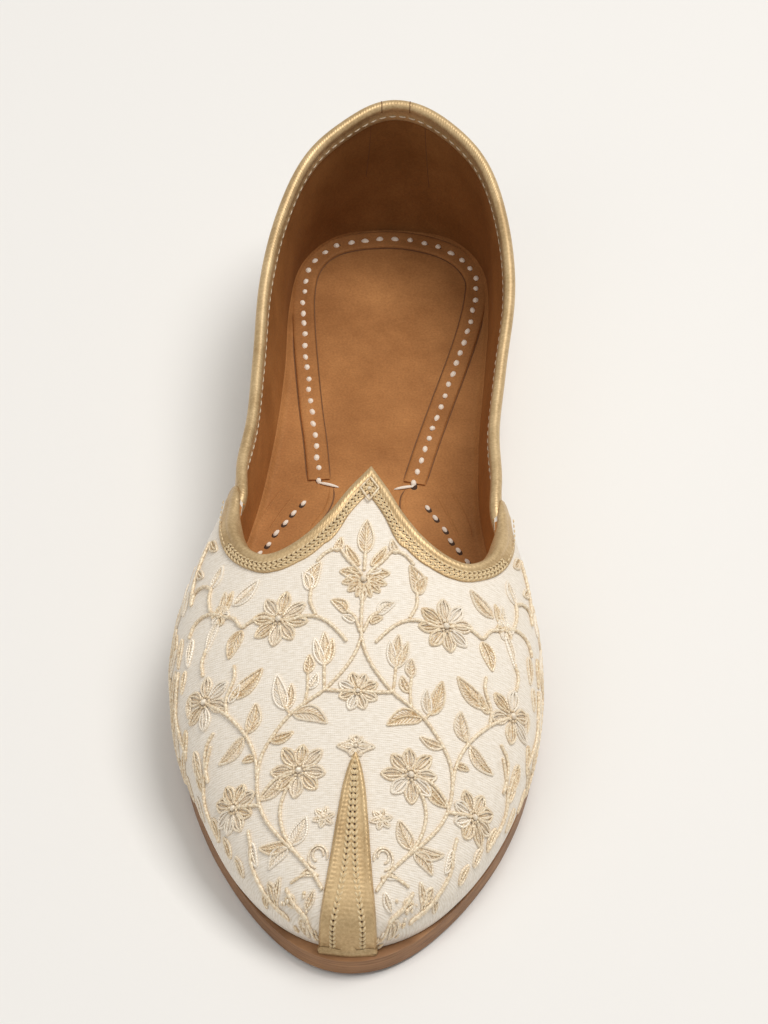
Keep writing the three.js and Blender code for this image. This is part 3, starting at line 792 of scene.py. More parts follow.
def makeCollarRoll():
    r, out, low = collarRoll["radius"], collarRoll["centreOut"], collarRoll["centreBelow"]
    roll = [(out + r * math.cos(t), low - r * math.sin(t)) for t in np.radians(np.linspace(212, -40, 15))]
    flange = collarRoll["flangeBelow"]
    section = [(0.25, flange), (-0.35, flange + 0.1), (-0.62, flange - 0.35), (-0.6, flange - 1.6),
               (-0.45, flange - 2.1)]
    section = section + roll + [(2.1, 2.9), (1.2, 3.2)]
    rings = np.stack([collarSweep(offset, below) for offset, below in section], axis=1)
    along = pathLengths(rings[:, 10])
    taper = np.sqrt(np.clip(np.minimum(along, along[-1] - along) / collarRoll["frontTaper"], 0.01, 1))
    taper = taper[:, None, None]
    middle = rings.mean(axis=1, keepdims=True)
    rings = middle + (rings - middle) * taper
    obj = joinedMesh("collar_roll", [ringTube(rings, along)])
    finishPiece(obj, goldRolled, "gold_leather", "collar_binding")


def makeThroatBand():
    ear = shoe["earShare"]
    tip = ear + throatBand["earReach"]
    shares, sides = roundToe(np.linspace(0, tip, 180))
    w = throatBand["width"]
    section = [(3.3, w + 0.05), (3.95, w), (4.1, w - 0.35), (4.05, 2.2), (3.95, 1.9), (4.25, 1.5),
               (4.5, 0.9), (4.4, 0.1), (3.9, -0.6), (3.0, -0.95), (1.7, -1.05), (0.4, -0.95),
               (-0.5, -0.5), (-0.95, 0.2), (-1.0, 1.4), (-0.9, 2.9), (-0.2, 3.2)]
    toEar = smoothStep(shares, ear - 0.09, ear - 0.01)
    closing = np.sqrt(np.clip((tip - shares) / 0.014, 0.02, 1))
    rings = []
    for offset, below in section:
        thin = throatBand["earInside"] + (offset + 1) * throatBand["earThin"]
        offsets = offset + (thin - offset) * toEar
        offsets = throatBand["earTip"] + (offsets - throatBand["earTip"]) * closing
        rings.append(edgePoint(sides, shares, offsets, 1.2 + (below - 1.2) * (0.35 + 0.65 * closing)))
    rings = np.stack(rings, axis=1)
    along = pathLengths(rings[:, len(section) // 2])
    obj = joinedMesh("vamp_edge_band", [ringTube(rings, along)])
    finishPiece(obj, goldFlat, "gold_leather", "vamp_binding")


heelSeams = dict(
    across=4.4, start=205, steps=22, rollWidth=0.13, liningWidth=0.16, lengths=(26, 30), top=0.9,
)


def creaseTube(path, width, proud, sunk, marks):  # a fine crease on an upright path, dark with painted shade
    sideways = np.array([1.0, 0, 0])
    outward = unit(np.cross(unit(np.gradient(path, axis=0)), sideways))
    offsets = [sideways * width, outward * proud, -sideways * width, -outward * sunk]
    return ringTube(np.stack([path + offset for offset in offsets], axis=1), marks)


def makeHeelSeams():
    # two fine creases where the collar's gold strip is joined, and the lining's seams below them, drawn
    # dark as painted shade
    dark = []
    steps = heelSeams["steps"]
    r, out, low = collarRoll["radius"] + 0.06, collarRoll["centreOut"], collarRoll["centreBelow"]
    for across in (-heelSeams["across"], heelSeams["across"]):
        path = []
        for t in np.radians(np.linspace(heelSeams["start"], 0, steps)):
            line = collarSweep(out + r * math.cos(t), low - r * math.sin(t))
            inFront = line[:, 1] < 200
            path.append(line[np.argmin(np.abs(line[:, 0] - across) + 1e3 * inFront)])
        marks = np.linspace(-1.6, 4.6, steps)
        dark.append(creaseTube(np.array(path), heelSeams["rollWidth"], 0.04, 0.1, marks))
    for side, length in zip((-1, 1), heelSeams["lengths"]):
        share = 1 - heelSeams["across"] / 82
        rises = np.linspace(heelSeams["top"], heelSeams["top"] - length / 60, 30)
        path = wallPoint(np.full(30, side), np.full(30, share), rises, np.zeros(30))
        dark.append(creaseTube(path, heelSeams["liningWidth"], 0.05, 0.05, rises))
    obj = joinedMesh("heel_creases", dark)
    finishPiece(obj, seamMaterial, "lining_leather")


makeCollarRoll()
makeHeelSeams()
makeThroatBand()
print("bindings ready")


toeStrip = dict(thickness=0.8, lift=0.4, roll=0.5, rows=64, lanes=21, footOut=1.0, corner=0.35)


def stripPoint(lane, row, lift):  # lane -1..1 across, row 0..1 from the sole to the apex
    lane, row, lift = np.broadcast_arrays(lane, row, lift)
    top = (stripRows[-1][0] - toeEnd) / (throatRows[0][0] - toeEnd)
    rise = top * np.maximum(row, 0) ** 2
    shares = np.linspace(0, 0.2, 400)
    points = np.zeros(lane.shape + (3,))
    flatRise, flatLane, flatLift = rise.ravel(), lane.ravel(), lift.ravel()
    out = points.reshape(-1, 3)
    for value in np.unique(flatRise):
        picked = np.nonzero(flatRise == value)[0]
        ridge = wallPoint(np.ones(1), np.zeros(1), np.full(1, value), np.zeros(1))[0]
        half = float(stripHalf(ridge[1]))
        for side in (1, -1):
            mine = picked[(flatLane[picked] >= 0) == (side > 0)]
            surface = np.full(400, shoe["vampOuter"])
            skin = wallPoint(np.full(400, side), shares, np.full(400, value), surface)
            share = np.interp(half * np.abs(flatLane[mine]), np.abs(skin[:, 0]), shares)
            offset = shoe["vampOuter"] + flatLift[mine]
            out[mine] = wallPoint(np.full(len(mine), side), share, np.full(len(mine), value), offset)
    return points


def makeToeStrip():
    rows, lanes = toeStrip["rows"], toeStrip["lanes"]
    row = np.linspace(0, 1, rows)[:, None] * np.ones(lanes)
    lane = np.ones((rows, 1)) * np.linspace(-1, 1, lanes)
    station = toeEnd + (stripRows[-1][0] - toeEnd) * row ** 2
    half = stripHalf(station)
    edge = (1 - np.abs(lane)) * half
    panel = 0.25 * (1 - smoothStep(np.abs(lane), 0.36, 0.46)) * (1 - smoothStep(row, 0.3, 0.75))
    rolled = toeStrip["roll"] * np.exp(-((edge - 0.9) / 0.6) ** 2)
    lift = toeStrip["lift"] + toeStrip["thickness"] + rolled + panel
    lift = np.where(np.abs(lane) > 0.999, toeStrip["lift"] + 0.3, lift)
    skin = stripPoint(lane, row, lift)
    under = stripPoint(lane * 0.97, row, np.full(lane.shape, 0.08))
    spread = 1 + toeStrip["corner"] / 9
    foot, footUnder = [], []  # the foot turns out on to the sole's ledge
    for part, height in ((1, 0.95), (0.55, 1.25), (0.2, 2.0)):
        out = toeStrip["footOut"] * part
        base = skin[0].copy()
        base[:, 1] -= out
        base[:, 0] *= 1 + (spread - 1) * out / toeStrip["footOut"]
        base[:, 2] = shoe["soleThickness"] + height * np.where(np.abs(lane[0]) > 0.999, 0.6, 1)
        foot.append(base)
        low = base.copy()
        low[:, 2] = shoe["soleThickness"] + 0.12
        footUnder.append(low)
    skin, under = np.concatenate([foot, skin[1:]]), np.concatenate([footUnder, under[1:]])
    rings = np.concatenate([skin, under[:, ::-1]], axis=1)
    obj = joinedMesh("toe_strip_gold", [ringTube(rings, pathLengths(skin[:, lanes // 2]))])
    finishPiece(obj, goldFlat, "gold_leather", "toe_strip")


makeToeStrip()
print("toe strip ready")


insoleTop = baseHeight + shoe["insoleThickness"]
# the stitched strip round the seat: (side offset, station) from the lateral end round the heel
seatBand = dict(
    middle=[(-17.4, 173), (-19.3, 188), (-21.2, 200), (-23.2, 215), (-25.2, 232), (-26.3, 247),
            (-25.2, 258), (-20.6, 265.8), (-12.5, 270.2), (0, 271.9), (12, 269.6), (20.2, 264.6),
            (24.9, 257), (25.3, 249), (23.7, 236), (20.8, 221.5), (17, 205), (13.2, 188), (10.2, 173)],
    outer=3.1, inner=3.3, height=0.6, stitchPitch=4.5,
)


def makeInsole():
    steps, lanes = 170, 64
    angle = np.linspace(0, np.pi, steps)[:, None] * np.ones(lanes)
    lane = np.ones((steps, 1)) * np.sin(np.linspace(-np.pi / 2, np.pi / 2, lanes))
    side = np.where(lane > 0, 1, -1)
    cove = smoothStep(np.abs(lane), 0.93, 1.0)
    rim = offsetPoint(side, angle, cove * 0.05, np.full(angle.shape, 0.1))
    points = np.stack([rim[..., 0] * np.abs(lane), rim[..., 1], np.full(lane.shape, insoleTop)], axis=-1)
    dish = 0.25 * np.cos(lane * np.pi / 2) * smoothStep(rim[..., 1], 190, 240)
    points[..., 2] += 1.6 * cove ** 2 - dish
    obj = gridSheet("insole_leather", toFrame(points), outward=np.zeros(points.shape) + (0, 0, 1))
    editMesh(obj, (bpy.ops.mesh.remove_doubles, {"threshold": 0.00002}))
    applyModifier(obj, "SOLIDIFY", thickness=0.0012, offset=-1, use_rim=True)
    finishPiece(obj, liningMaterial, "lining_leather", "insole")


def floorFrame(path):  # tangent and side direction of a path that lies on the insole
    tangent = unit(np.gradient(path, axis=0))
    return tangent, np.stack([-tangent[:, 1], tangent[:, 0]], axis=1)


def makeSeatBand():
    path = evenPath(seatBand["middle"], 0.8)
    across = floorFrame(path)[1]
    o, w, h = seatBand["outer"], seatBand["inner"], seatBand["height"]
    section = [(-o, -0.2), (-o, h * 0.45), (-o + 0.3, h * 0.9), (-o + 0.9, h), (-0.9, h * 0.8),
               (0, h * 0.6), (0.9, h * 0.8), (w - 0.9, h), (w - 0.3, h * 0.9), (w, h * 0.45), (w, -0.2)]
    rings = []
    for offset, height in section:
        spot = path + across * offset
        rings.append(np.column_stack([spot, np.full(len(path), insoleTop + height)]))
    rings = np.stack(rings, axis=1)
    obj = joinedMesh("seat_band", [ringTube(rings, pathLengths(path))])
    finishPiece(obj, liningMaterial, "lining_leather")


def capsule(centre, direction, up, length, radius, tone, flat=0.8, sides=6, stations=5):
    # one stitch: a rounded bar that dips at both ends
    direction, up = unit(direction), unit(up)
    across = unit(np.cross(direction, up))
    along = np.linspace(-1, 1, stations)
    rings = []
    for t in along:
        girth = radius * max(0.25, math.sqrt(max(0, 1 - t * t * 0.94)))
        middle = centre + direction * (t * length / 2) - up * (radius * 0.5 * t * t)
        for k in range(sides):
            turn = 2 * math.pi * k / sides
            rings.append(middle + across * (girth * math.cos(turn)) + up * (girth * flat * math.sin(turn)))
    return toFrame(np.array(rings)), tubeFaces(stations, sides), tone, np.repeat(along * length, sides)


def makeSeatStitches():
    rng = random.Random(4)
    stitches, holeShades = [], []
    up = np.array([0.0, 0.0, 1.0])
    path = evenPath(seatBand["middle"], seatBand["stitchPitch"])
    tangents = floorFrame(path)[0]
    for spot, tangent in zip(path, tangents):
        shift = np.array([rng.uniform(-0.25, 0.25), rng.uniform(-0.35, 0.35)])
        turned = rng.uniform(-0.35, 0.35)
        direction = np.array([tangent[0] - turned * tangent[1], tangent[1] + turned * tangent[0], 0])
        centre = np.append(spot + shift, insoleTop + 0.45)
        length, radius = rng.uniform(2.1, 2.9), rng.uniform(0.72, 0.88)
        stitches.append(capsule(centre, direction, up, length, radius, rng.random()))
        # painted shade: a dark mark under one end of the stitch stands in for the shadow in its needle hole
        below = centre - up * 0.36 + direction * 0.9
        holeShades.append(capsule(below, direction, up, 4.2, 1.0, 0.0, flat=0.35, sides=8))
    for diagonal in ([(-19.4, 168), (-32.8, 143.5)], [(12.4, 168), (26.8, 143.5)]):
        line = evenPath(diagonal, 4.6)
        tangents = floorFrame(line)[0]
        for spot, tangent in list(zip(line, tangents))[1:]:
            shift = (rng.uniform(-0.3, 0.3), rng.uniform(-0.3, 0.3))
            centre = np.append(spot + shift, insoleTop + 0.25)
            direction = np.append(tangent, 0)
            stitches.append(capsule(centre, direction, up, rng.uniform(2.2, 3.0), 0.62, rng.random()))
            # the same painted needle-hole shade for the diagonal stitches
            below = centre - up * 0.22 + direction * 0.7
            holeShades.append(capsule(below, direction, up, 3.8, 0.8, 0.0, flat=0.3, sides=8))
    for start, end in (((-17.6, 172), (-11.5, 170.5)), ((10.6, 172), (4.6, 170.5))):  # the threads' ends
        spot = (np.array(start) + np.array(end)) / 2
        direction = np.append(np.array(end) - np.array(start), 0)
        stitches.append(capsule(np.append(spot, insoleTop + 0.4), direction, up, 6.2, 0.5, 0.5, stations=9))
    obj = joinedMesh("seat_stitches", stitches)
    finishPiece(obj, cottonMaterial, "lining_leather")
    obj = joinedMesh("seat_stitch_hole_shade", holeShades)
    finishPiece(obj, holeShadeMaterial, "lining_leather")


seams = dict(  # (side offset, station): the wings' front edges, drawn as painted shadow lines, and the faint sewn lines beside them
    wings=[[(-13.2, 171.2), (-12.8, 167.5), (-13.4, 163.2), (-15.2, 158.8), (-18.5, 153)],
           [(8.2, 171.6), (6.8, 168.2), (6.6, 164), (7.8, 159), (10.5, 153)]],
    faint=[[(-26, 172.4), (-30, 165), (-32.6, 159), (-34, 152.5)],
           [(20.4, 172), (23.8, 165.4), (26.4, 159), (28.2, 152)],
           [(-23.4, 168.4), (-27.6, 160.4), (-31.4, 151.6)], [(17.2, 168.4), (21, 160.6), (24.6, 151.6)]],
)


def creaseLine(heap, places, width, height):
    path = evenPath(places, 0.9)
    across = floorFrame(path)[1]
    taper = np.clip(np.minimum(np.arange(len(path)), np.arange(len(path))[::-1]) / 4, 0.1, 1)[:, None]
    section = [(-0.5, 0.0), (-0.25, 0.8), (0.25, 0.8), (0.5, 0.0), (0.0, -0.6)]
    rings = [np.column_stack([path + across * offset * width * taper, insoleTop + taper * rise * height])
             for offset, rise in section]
    heap.append(ringTube(np.stack(rings, axis=1), pathLengths(path)))


def makeInsoleSeamsAndEdgeShade():
    dark, soft = [], []
    for line in seams["wings"]:
        # painted shadow: a dark line where the wing's edge shades the insole
        creaseLine(dark, line, 0.55, 0.1)
        creaseLine(soft, [(x + (0.9 if x > 0 else -0.9), y) for x, y in line], 1.6, 0.4)
    for line in seams["faint"]:
        creaseLine(soft, line, 0.8, 0.3)
    # painted shadow: dark lines along both edges of the raised seat band
    middle = evenPath(seatBand["middle"], 2.0)
    across = floorFrame(middle)[1]
    for offset in (-seatBand["outer"] - 0.25, seatBand["inner"] + 0.25):
        creaseLine(dark, middle + across * offset, 0.32, 0.06)
    obj = joinedMesh("insole_edge_shade", dark)
    finishPiece(obj, seamMaterial, "lining_leather")
    obj = joinedMesh("insole_folds", soft)
    finishPiece(obj, liningMaterial, "lining_leather")


makeInsole()
makeInsoleSeamsAndEdgeShade()
makeSeatBand()
makeSeatStitches()
print("insole ready")


def alongPath(path, ups, every):  # even places on a path: spot, direction, up
    lengths = pathLengths(path)
    for mark in (np.arange(int(lengths[-1] / every)) + 0.5) * every:
        spot, ahead, up = [np.array([np.interp(m, lengths, line[:, k]) for k in range(3)])
                           for m, line in ((mark, path), (mark + 0.3, path), (mark, ups))]
        yield spot, unit(ahead - spot), unit(up)


def makeCollarStitches():
    path = collarSweep(-0.72, collarRoll["stitchBelow"])
    ups = collarSweep(-1.72, collarRoll["stitchBelow"]) - path
    heap = [capsule(*place, 2.1, 0.3, 0.3) for place in alongPath(path, ups, 2.9)]
    obj = joinedMesh("collar_stitches", heap)
    finishPiece(obj, satinMaterial, "gold_leather")


def braidRow(heap, holeShades, path, ups, every, length, radius, spread):
    # slanted stitches that lean into each other as a chain, with dark marks of painted shade in the gaps
    # between them
    for index, (spot, direction, up) in enumerate(alongPath(path, ups, every)):
        across = np.cross(up, direction)
        for hand in (1, -1):
            lean = unit(direction * 0.9 - across * hand * 0.42)
            centre = spot + across * hand * spread + up * 0.05
            heap.append(capsule(centre, lean, up, length, radius, 0.25 * ((index + hand) % 2)))
        # painted shade: a dark mark in the gap between two stitches
        between = spot + direction * every * 0.5 - up * 0.02
        holeShades.append(capsule(between, direction, up, every * 0.5, radius * 0.8, 0.0, flat=0.4))


def makeBraids():
    heap, holeShades = [], []
    for side in (1, -1):
        shares = np.linspace(0.0, 0.40, 160)
        sides = np.full(160, side)
        for below in throatBand["braids"]:
            path = edgePoint(sides, shares, 4.15, below)
            ups = edgePoint(sides, shares, 5.15, below) - path
            braidRow(heap, holeShades, path, ups, 1.5, 1.65, 0.28, 0.34)
        shares = np.linspace(0.40, shoe["earShare"] - 0.006, 160)
        path = edgePoint(sides, shares, 4.15, throatBand["braids"][1])
        ups = edgePoint(sides, shares, 5.15, throatBand["braids"][1]) - path
        heap += [capsule(*place, 1.5, 0.26, 0.6) for place in alongPath(path, ups, 2.1)]
    for hand in (1, -1):  # the strip's two braids, from the apex to the foot
        row = np.linspace(0.985, 0.0, 150)
        lane = hand * (0.5 * (1 - smoothStep(row, 0.05, 0.9)) + 0.13 * smoothStep(row, 0.2, 0.9))
        lift = toeStrip["lift"] + toeStrip["thickness"] + 0.1
        path = stripPoint(lane, row, lift)
        ups = stripPoint(lane, row, lift + 1) - path
        braidRow(heap, holeShades, path, ups, 1.7, 1.9, 0.36, 0.46)
    obj = joinedMesh("gold_braids", heap)
    finishPiece(obj, braidMaterial, "gold_leather")
    obj = joinedMesh("braid_gap_shade", holeShades)
    finishPiece(obj, holeShadeMaterial, "gold_leather")


makeCollarStitches()
makeBraids()
print("binding stitches ready")


# the embroidery's chart on the flat vamp: the medial half, (across, along) in mm, mirrored to the lateral
vines = [
    [(0.2, 88.6), (1.2, 85), (3.9, 80), (9, 73.9), (14, 70.3), (18.6, 66.8), (22.6, 62), (25.7, 56.8),
     (26.9, 50.8), (26.3, 44.3), (24, 38.6), (20, 33.4), (14.8, 28), (10.2, 22.6), (7.2, 17.6)],
    [(3.9, 87.6), (6.6, 90.8), (9.6, 93.6), (13, 95.2), (16.6, 95.4), (20, 94.6), (23, 95)],
    [(23, 95), (28, 96.4), (31, 96), (34, 94.8), (36.5, 98), (39.8, 99.6), (41, 100.2)],
    [(12.8, 95.6), (14.6, 99.8), (14.6, 104)],
    [(13.4, 112), (12, 113.8), (9.8, 115.4), (7, 115.6)],
    [(7, 115.6), (4.8, 112.4), (2, 109.4), (0.6, 107.4)],
    [(27, 50.4), (27.8, 56.2), (31, 63), (37, 70), (42.4, 74.2), (44.4, 76)],
    [(26.4, 42.6), (25.2, 45.6), (22, 48.9), (18.5, 50.5), (15.2, 50.8)],
    [(15.6, 29), (18.6, 34), (19.9, 39.6), (19, 44.6), (16.6, 48.4)],
    [(25.6, 42.6), (29.6, 43.4), (33.9, 44)],
    [(41.6, 100.6), (46, 102.2), (50.2, 101), (52.2, 97.6)],
    [(41.6, 100.6), (44.4, 102.6), (45.6, 107.2), (45.2, 111)],
    [(45.4, 110.6), (48.6, 112.6), (52.2, 112.2), (53.4, 108.6)],
    [(53.6, 110), (53.6, 117), (52, 123.2), (49.4, 129)],
    [(37.2, 70.2), (37.4, 74.5), (36.2, 77.5), (35.2, 80.5), (35.5, 84)],
    [(45.6, 83.6), (46.2, 88), (44.8, 91.6)],
    [(56.4, 90), (57.4, 83), (58, 78), (56, 72.2), (53, 66)],
    [(41, 66.4), (43.5, 63.5), (44.2, 59.2), (43.2, 54)],
    [(42, 63.2), (43.8, 58), (45.5, 51.8), (44.6, 46.5), (40.6, 38.5)],
    [(29.2, 37), (28.4, 32.5), (28.5, 28.8), (26.4, 23.4), (23.4, 19), (19, 14.6)],
    [(17.8, 20), (15.4, 15.8), (12.4, 12.4), (13.6, 9.6)],
    [(0.4, 90.6), (2.2, 95), (4.6, 96.8)],
]
sideVine = [(59, 62), (62.6, 74), (62.2, 86), (65.4, 98), (63.6, 110), (66.6, 122), (63.8, 134), (66, 146)]
peakDiamond = [(0, 138.6), (2.5, 135), (0, 131), (-2.5, 135)]
midVines = [[(0, 88.2), (-0.3, 95), (-0.3, 102.6)], [(-0.2, 109), (-0.2, 115.4)],
            [(-9.4, 73.6), (-5, 73.2), (0, 73.2), (5, 73.2), (9.4, 73.6)]]
twigs = [
    [(14.6, 70), (14, 74), (14.2, 79)], [(9.4, 73.6), (9.6, 77.4), (9.8, 81.4)],
    [(18.4, 67), (19.4, 68.6), (20.2, 69.6)],
    [(15.4, 28.8), (16.4, 30), (17, 30.6)], [(8.4, 21.4), (10.5, 22.4), (13, 22), (16.4, 20.8)],
    [(30.8, 62.6), (30.4, 64), (30, 65)],
]
leaves = [  # base, tip, width, bend
    ((4.2, 96.2), (8.9, 100), 3.4, 0.8), ((2.2, 93.4), (5.6, 95.2), 2.0, 0.3),
    ((20, 68.6), (22.8, 79), 4.2, -0.4), ((19.4, 68.6), (18.6, 76), 2.8, 0.4),
    ((14.2, 78.6), (14, 84), 3.0, 0.3), ((13.6, 74), (11.6, 78.6), 2.6, 0.4),
    ((9.8, 80.8), (10.2, 90.6), 3.4, 0.2), ((9.8, 80.8), (12.8, 88.8), 2.6, -0.4),
    ((9.6, 80.8), (7.9, 88.6), 2.6, 0.4), ((17.6, 67.2), (8, 64), 4.8, -1.4),
    ((23.8, 60.2), (17.2, 62), 2.8, 0.6), ((30, 63.4), (28.4, 71.6), 4.4, 0.6),
    ((31.5, 62.6), (39.2, 57.2), 4.2, -1.2), ((36, 74.6), (27, 81.4), 5.0, 0.9),
    ((36.6, 73.4), (33.4, 78), 2.6, 0.3), ((33.9, 93.8), (37.4, 86.2), 4.4, 0.6),
    ((37.2, 102.4), (29.8, 108.6), 4.2, 0.6), ((41, 101.2), (40.2, 107.6), 2.4, 0.2),
    ((39.8, 101.2), (37.6, 107), 2.2, -0.2), ((41.4, 99.4), (45, 90.4), 2.6, 0.4),
    ((50.8, 97), (51.8, 89), 2.8, 0.3), ((55.8, 99.6), (56.8, 91), 2.4, 0.2),
    ((45.4, 110.6), (42.2, 117), 3.4, 0.4), ((53, 88.6), (54.5, 82.6), 2.2, 0.2),
    ((15, 103.4), (12.2, 112), 4.6, -1.0), ((15, 103.4), (17.2, 109.2), 3.2, 0.6),
    ((8.4, 115), (7, 119.4), 2.4, 0.3), ((1.6, 110.6), (5.6, 117), 2.4, -0.3),
    ((1.2, 108.4), (4.6, 109.6), 1.8, 0.2), ((16.6, 30.4), (12.6, 38), 4.6, 0.5),
    ((17.2, 31), (25.8, 31.6), 3.2, -0.9), ((17.2, 29.8), (22.8, 25.6), 4.0, 0.8),
    ((9.6, 22.2), (13.4, 22.4), 2.2, 0.4), ((19.8, 48.6), (25.6, 44), 3.0, -0.8),
    ((27.8, 56), (31.6, 55.8), 2.0, 0.3), ((52.4, 71.8), (53.8, 64.6), 2.6, 0.3),
    ((48.6, 64.4), (45.8, 55.2), 3.2, 0.4), ((45.8, 53), (47.8, 61.6), 2.6, -0.3),
    ((28.4, 33.6), (26.6, 27.4), 2.6, 0.4), ((22, 17.4), (23.4, 23), 3.4, 0.3),
    ((21.4, 18.6), (19.4, 23), 2.2, -0.2), ((24.6, 21), (27.4, 19.6), 2.0, 0.2),
    ((15.4, 16), (18.4, 18), 2.2, 0.3), ((13, 12.6), (16.8, 11.2), 2.4, 0.3),
    ((12, 14), (9.6, 18), 2.4, 0.3), ((40.6, 38.8), (42.6, 45), 2.4, 0.3),
    ((36.4, 33), (38.4, 38.6), 2.2, 0.2), ((32.4, 27.4), (34.6, 32.6), 2.2, 0.2),
    ((48.8, 128.6), (45.2, 123.4), 2.8, 0.4), ((52.6, 120), (49.4, 116.4), 2.4, 0.3),
    ((57.6, 108), (57.2, 116), 2.4, 0.2), ((50.6, 80), (50.8, 74), 2.2, 0.2),
    ((58.4, 76), (60.4, 69), 2.6, 0.3), ((60, 96), (60.6, 104), 2.6, 0.2),
    ((61.4, 88), (60.8, 80), 2.4, 0.2), ((56, 62), (54.4, 55), 2.4, 0.3),
    ((50.4, 54), (48.6, 47), 2.4, 0.3),
]
midLeaves = [((-0.2, 114.4), (-0.2, 125), 4.8, 0.0), ((-0.2, 104), (-0.2, 99.6), 2.2, 0.0)]
blooms = [  # across, along, radius, petals, turn
    (23.1, 95.2, 7.7, 8, 0.2), (15.2, 50.9, 7.6, 8, 0.1), (33.9, 44, 6.6, 8, 0.45),
    (44.4, 75.9, 7.4, 6, 0.5), (41.2, 100.4, 2.9, 6, 0.3),
]
midBlooms = [(-0.2, 73.2, 5.4, 8, 0.39)]
wings = [((0.8, 106.2), (7, 108.8), 4.0, 0.9), ((0.8, 105.8), (6.2, 105.2), 3.0, 0.4),
         ((0.8, 105.4), (4.4, 102.6), 2.8, 0.3), ((0.4, 105.2), (2, 101), 2.0, 0.0)]
motif = [(0, 60.6), (2.6, 58.6), (5, 57.6), (2.4, 56.2), (0, 54.4)]  # the small diamond above the strip


motifRays = [((0.6, 57.6), (4.2, 57.6)), ((0.3, 58.4), (1.8, 60.4)), ((0.3, 56.8), (1.6, 54.8))]


def flatTube(path, radius, tone, lift, lobes=0.0, pitch=2.2, sides=6):
    # a cord laid on the flat vamp; lobes makes it a twisted two-ply cord
    tangent = unit(np.gradient(path, axis=0))
    across = np.stack([-tangent[:, 1], tangent[:, 0]], axis=1)
    lengths = pathLengths(path)
    taper = np.clip(np.minimum(lengths, lengths[-1] - lengths) / 0.5 + 0.45, 0, 1)
    rings = np.zeros((len(path), sides, 3))
    for k in range(sides):
        turn = 2 * math.pi * k / sides
        r = radius * taper * (1 + lobes * np.cos(2 * (turn - lengths * 2 * math.pi / pitch / 2)))
        rings[:, k, :2] = path + across * (r * math.cos(turn))[:, None]
        rings[:, k, 2] = lift + r * math.sin(turn)
    flat = rings.reshape(-1, 3)
    spots = toFrame(vampSpot(flat[:, 0], flat[:, 1], flat[:, 2]))
    return spots, tubeFaces(len(path), sides), tone, np.repeat(lengths, sides)


def satinBar(start, end, width, height, tone):
    # one satin thread: a low rounded ridge between two places of the flat vamp
    start, end = np.array(start), np.array(end)
    direction = end - start
    reach = np.linalg.norm(direction)
    if reach < 0.15:
        return None
    direction = direction / reach
    across = np.array([-direction[1], direction[0]]) * width / 2
    flat = []
    for t, crown in ((0, 0.15), (0.3, 0.95), (0.7, 1.0), (1, 0.15)):
        middle = start + direction * reach * t
        flat += [(*(middle - across), -0.05), (*middle, height * crown), (*(middle + across), -0.05)]
    flat = np.array(flat)
    faces = []
    for i in range(3):
        for j in range(2):
            faces.append((i * 3 + j, i * 3 + j + 1, i * 3 + j + 4, i * 3 + j + 3))
        faces.append((i * 3 + 2, i * 3, i * 3 + 3, i * 3 + 5))
    faces += [(0, 2, 1), (9, 10, 11)]
    marks = np.repeat([0, 0.3, 0.7, 1], 3) * reach
    return toFrame(vampSpot(flat[:, 0], flat[:, 1], flat[:, 2])), faces, tone, marks


def leafShape(base, tip, width, bend):
    # midrib and half width of a leaf, from its base to its tip
    base, tip = np.array(base, float), np.array(tip, float)
    axis = tip - base
    length = np.linalg.norm(axis)
    axis = axis / length
    across = np.array([-axis[1], axis[0]])
    t = np.linspace(0, 1, 25)
    rib = base + axis * (t * length)[:, None] + across * (bend * np.sin(t * np.pi))[:, None]
    half = width / 2 * np.sin(np.pi * t ** 0.85) ** 0.8 * (1 - 0.25 * t)
    return t, rib, half, across, length


def addLeaf(cords, satin, base, tip, width, bend, rng, tone):
    t, rib, half, across, length = leafShape(base, tip, width, bend)
    for hand in (1, -1):
        edge = rib + across * (hand * half)[:, None]
        cords.append(flatTube(evenPath(edge[::3], 0.42), 0.32, min(1, tone * 0.8 + 0.1), 0.25, sides=5))
        count = max(4, int(length / 0.85))
        for k in range(1, count):
            u = k / count
            low = np.array([np.interp(u - 0.08, t, rib[:, i]) for i in (0, 1)])
            high = np.array([np.interp(min(u + 0.2, 0.99), t, edge[:, i]) for i in (0, 1)])
            shade = min(1, max(0, tone + rng.uniform(-0.25, 0.25)))
            bar = satinBar(low, low + (high - low) * 0.86, 0.5, 0.4, shade)
            if bar:
                satin.append(bar)
    cords.append(flatTube(evenPath(rib[:-2:3], 0.45), 0.24, tone * 0.5, 0.4, sides=5))


def addBead(heap, across, along, radius, tone, lift=0.3):
    rings, sides = 4, 7
    flat = []
    for i in range(rings):
        tilt = math.pi * (i + 0.5) / rings
        for k in range(sides):
            turn = 2 * math.pi * k / sides
            out, up = radius * math.sin(tilt), radius * math.cos(tilt)
            flat.append((across + out * math.cos(turn), along + out * math.sin(turn), lift + up))
    flat = np.array(flat)
    spots = toFrame(vampSpot(flat[:, 0], flat[:, 1], flat[:, 2]))
    heap.append((spots, tubeFaces(rings, sides), tone, flat[:, 0]))


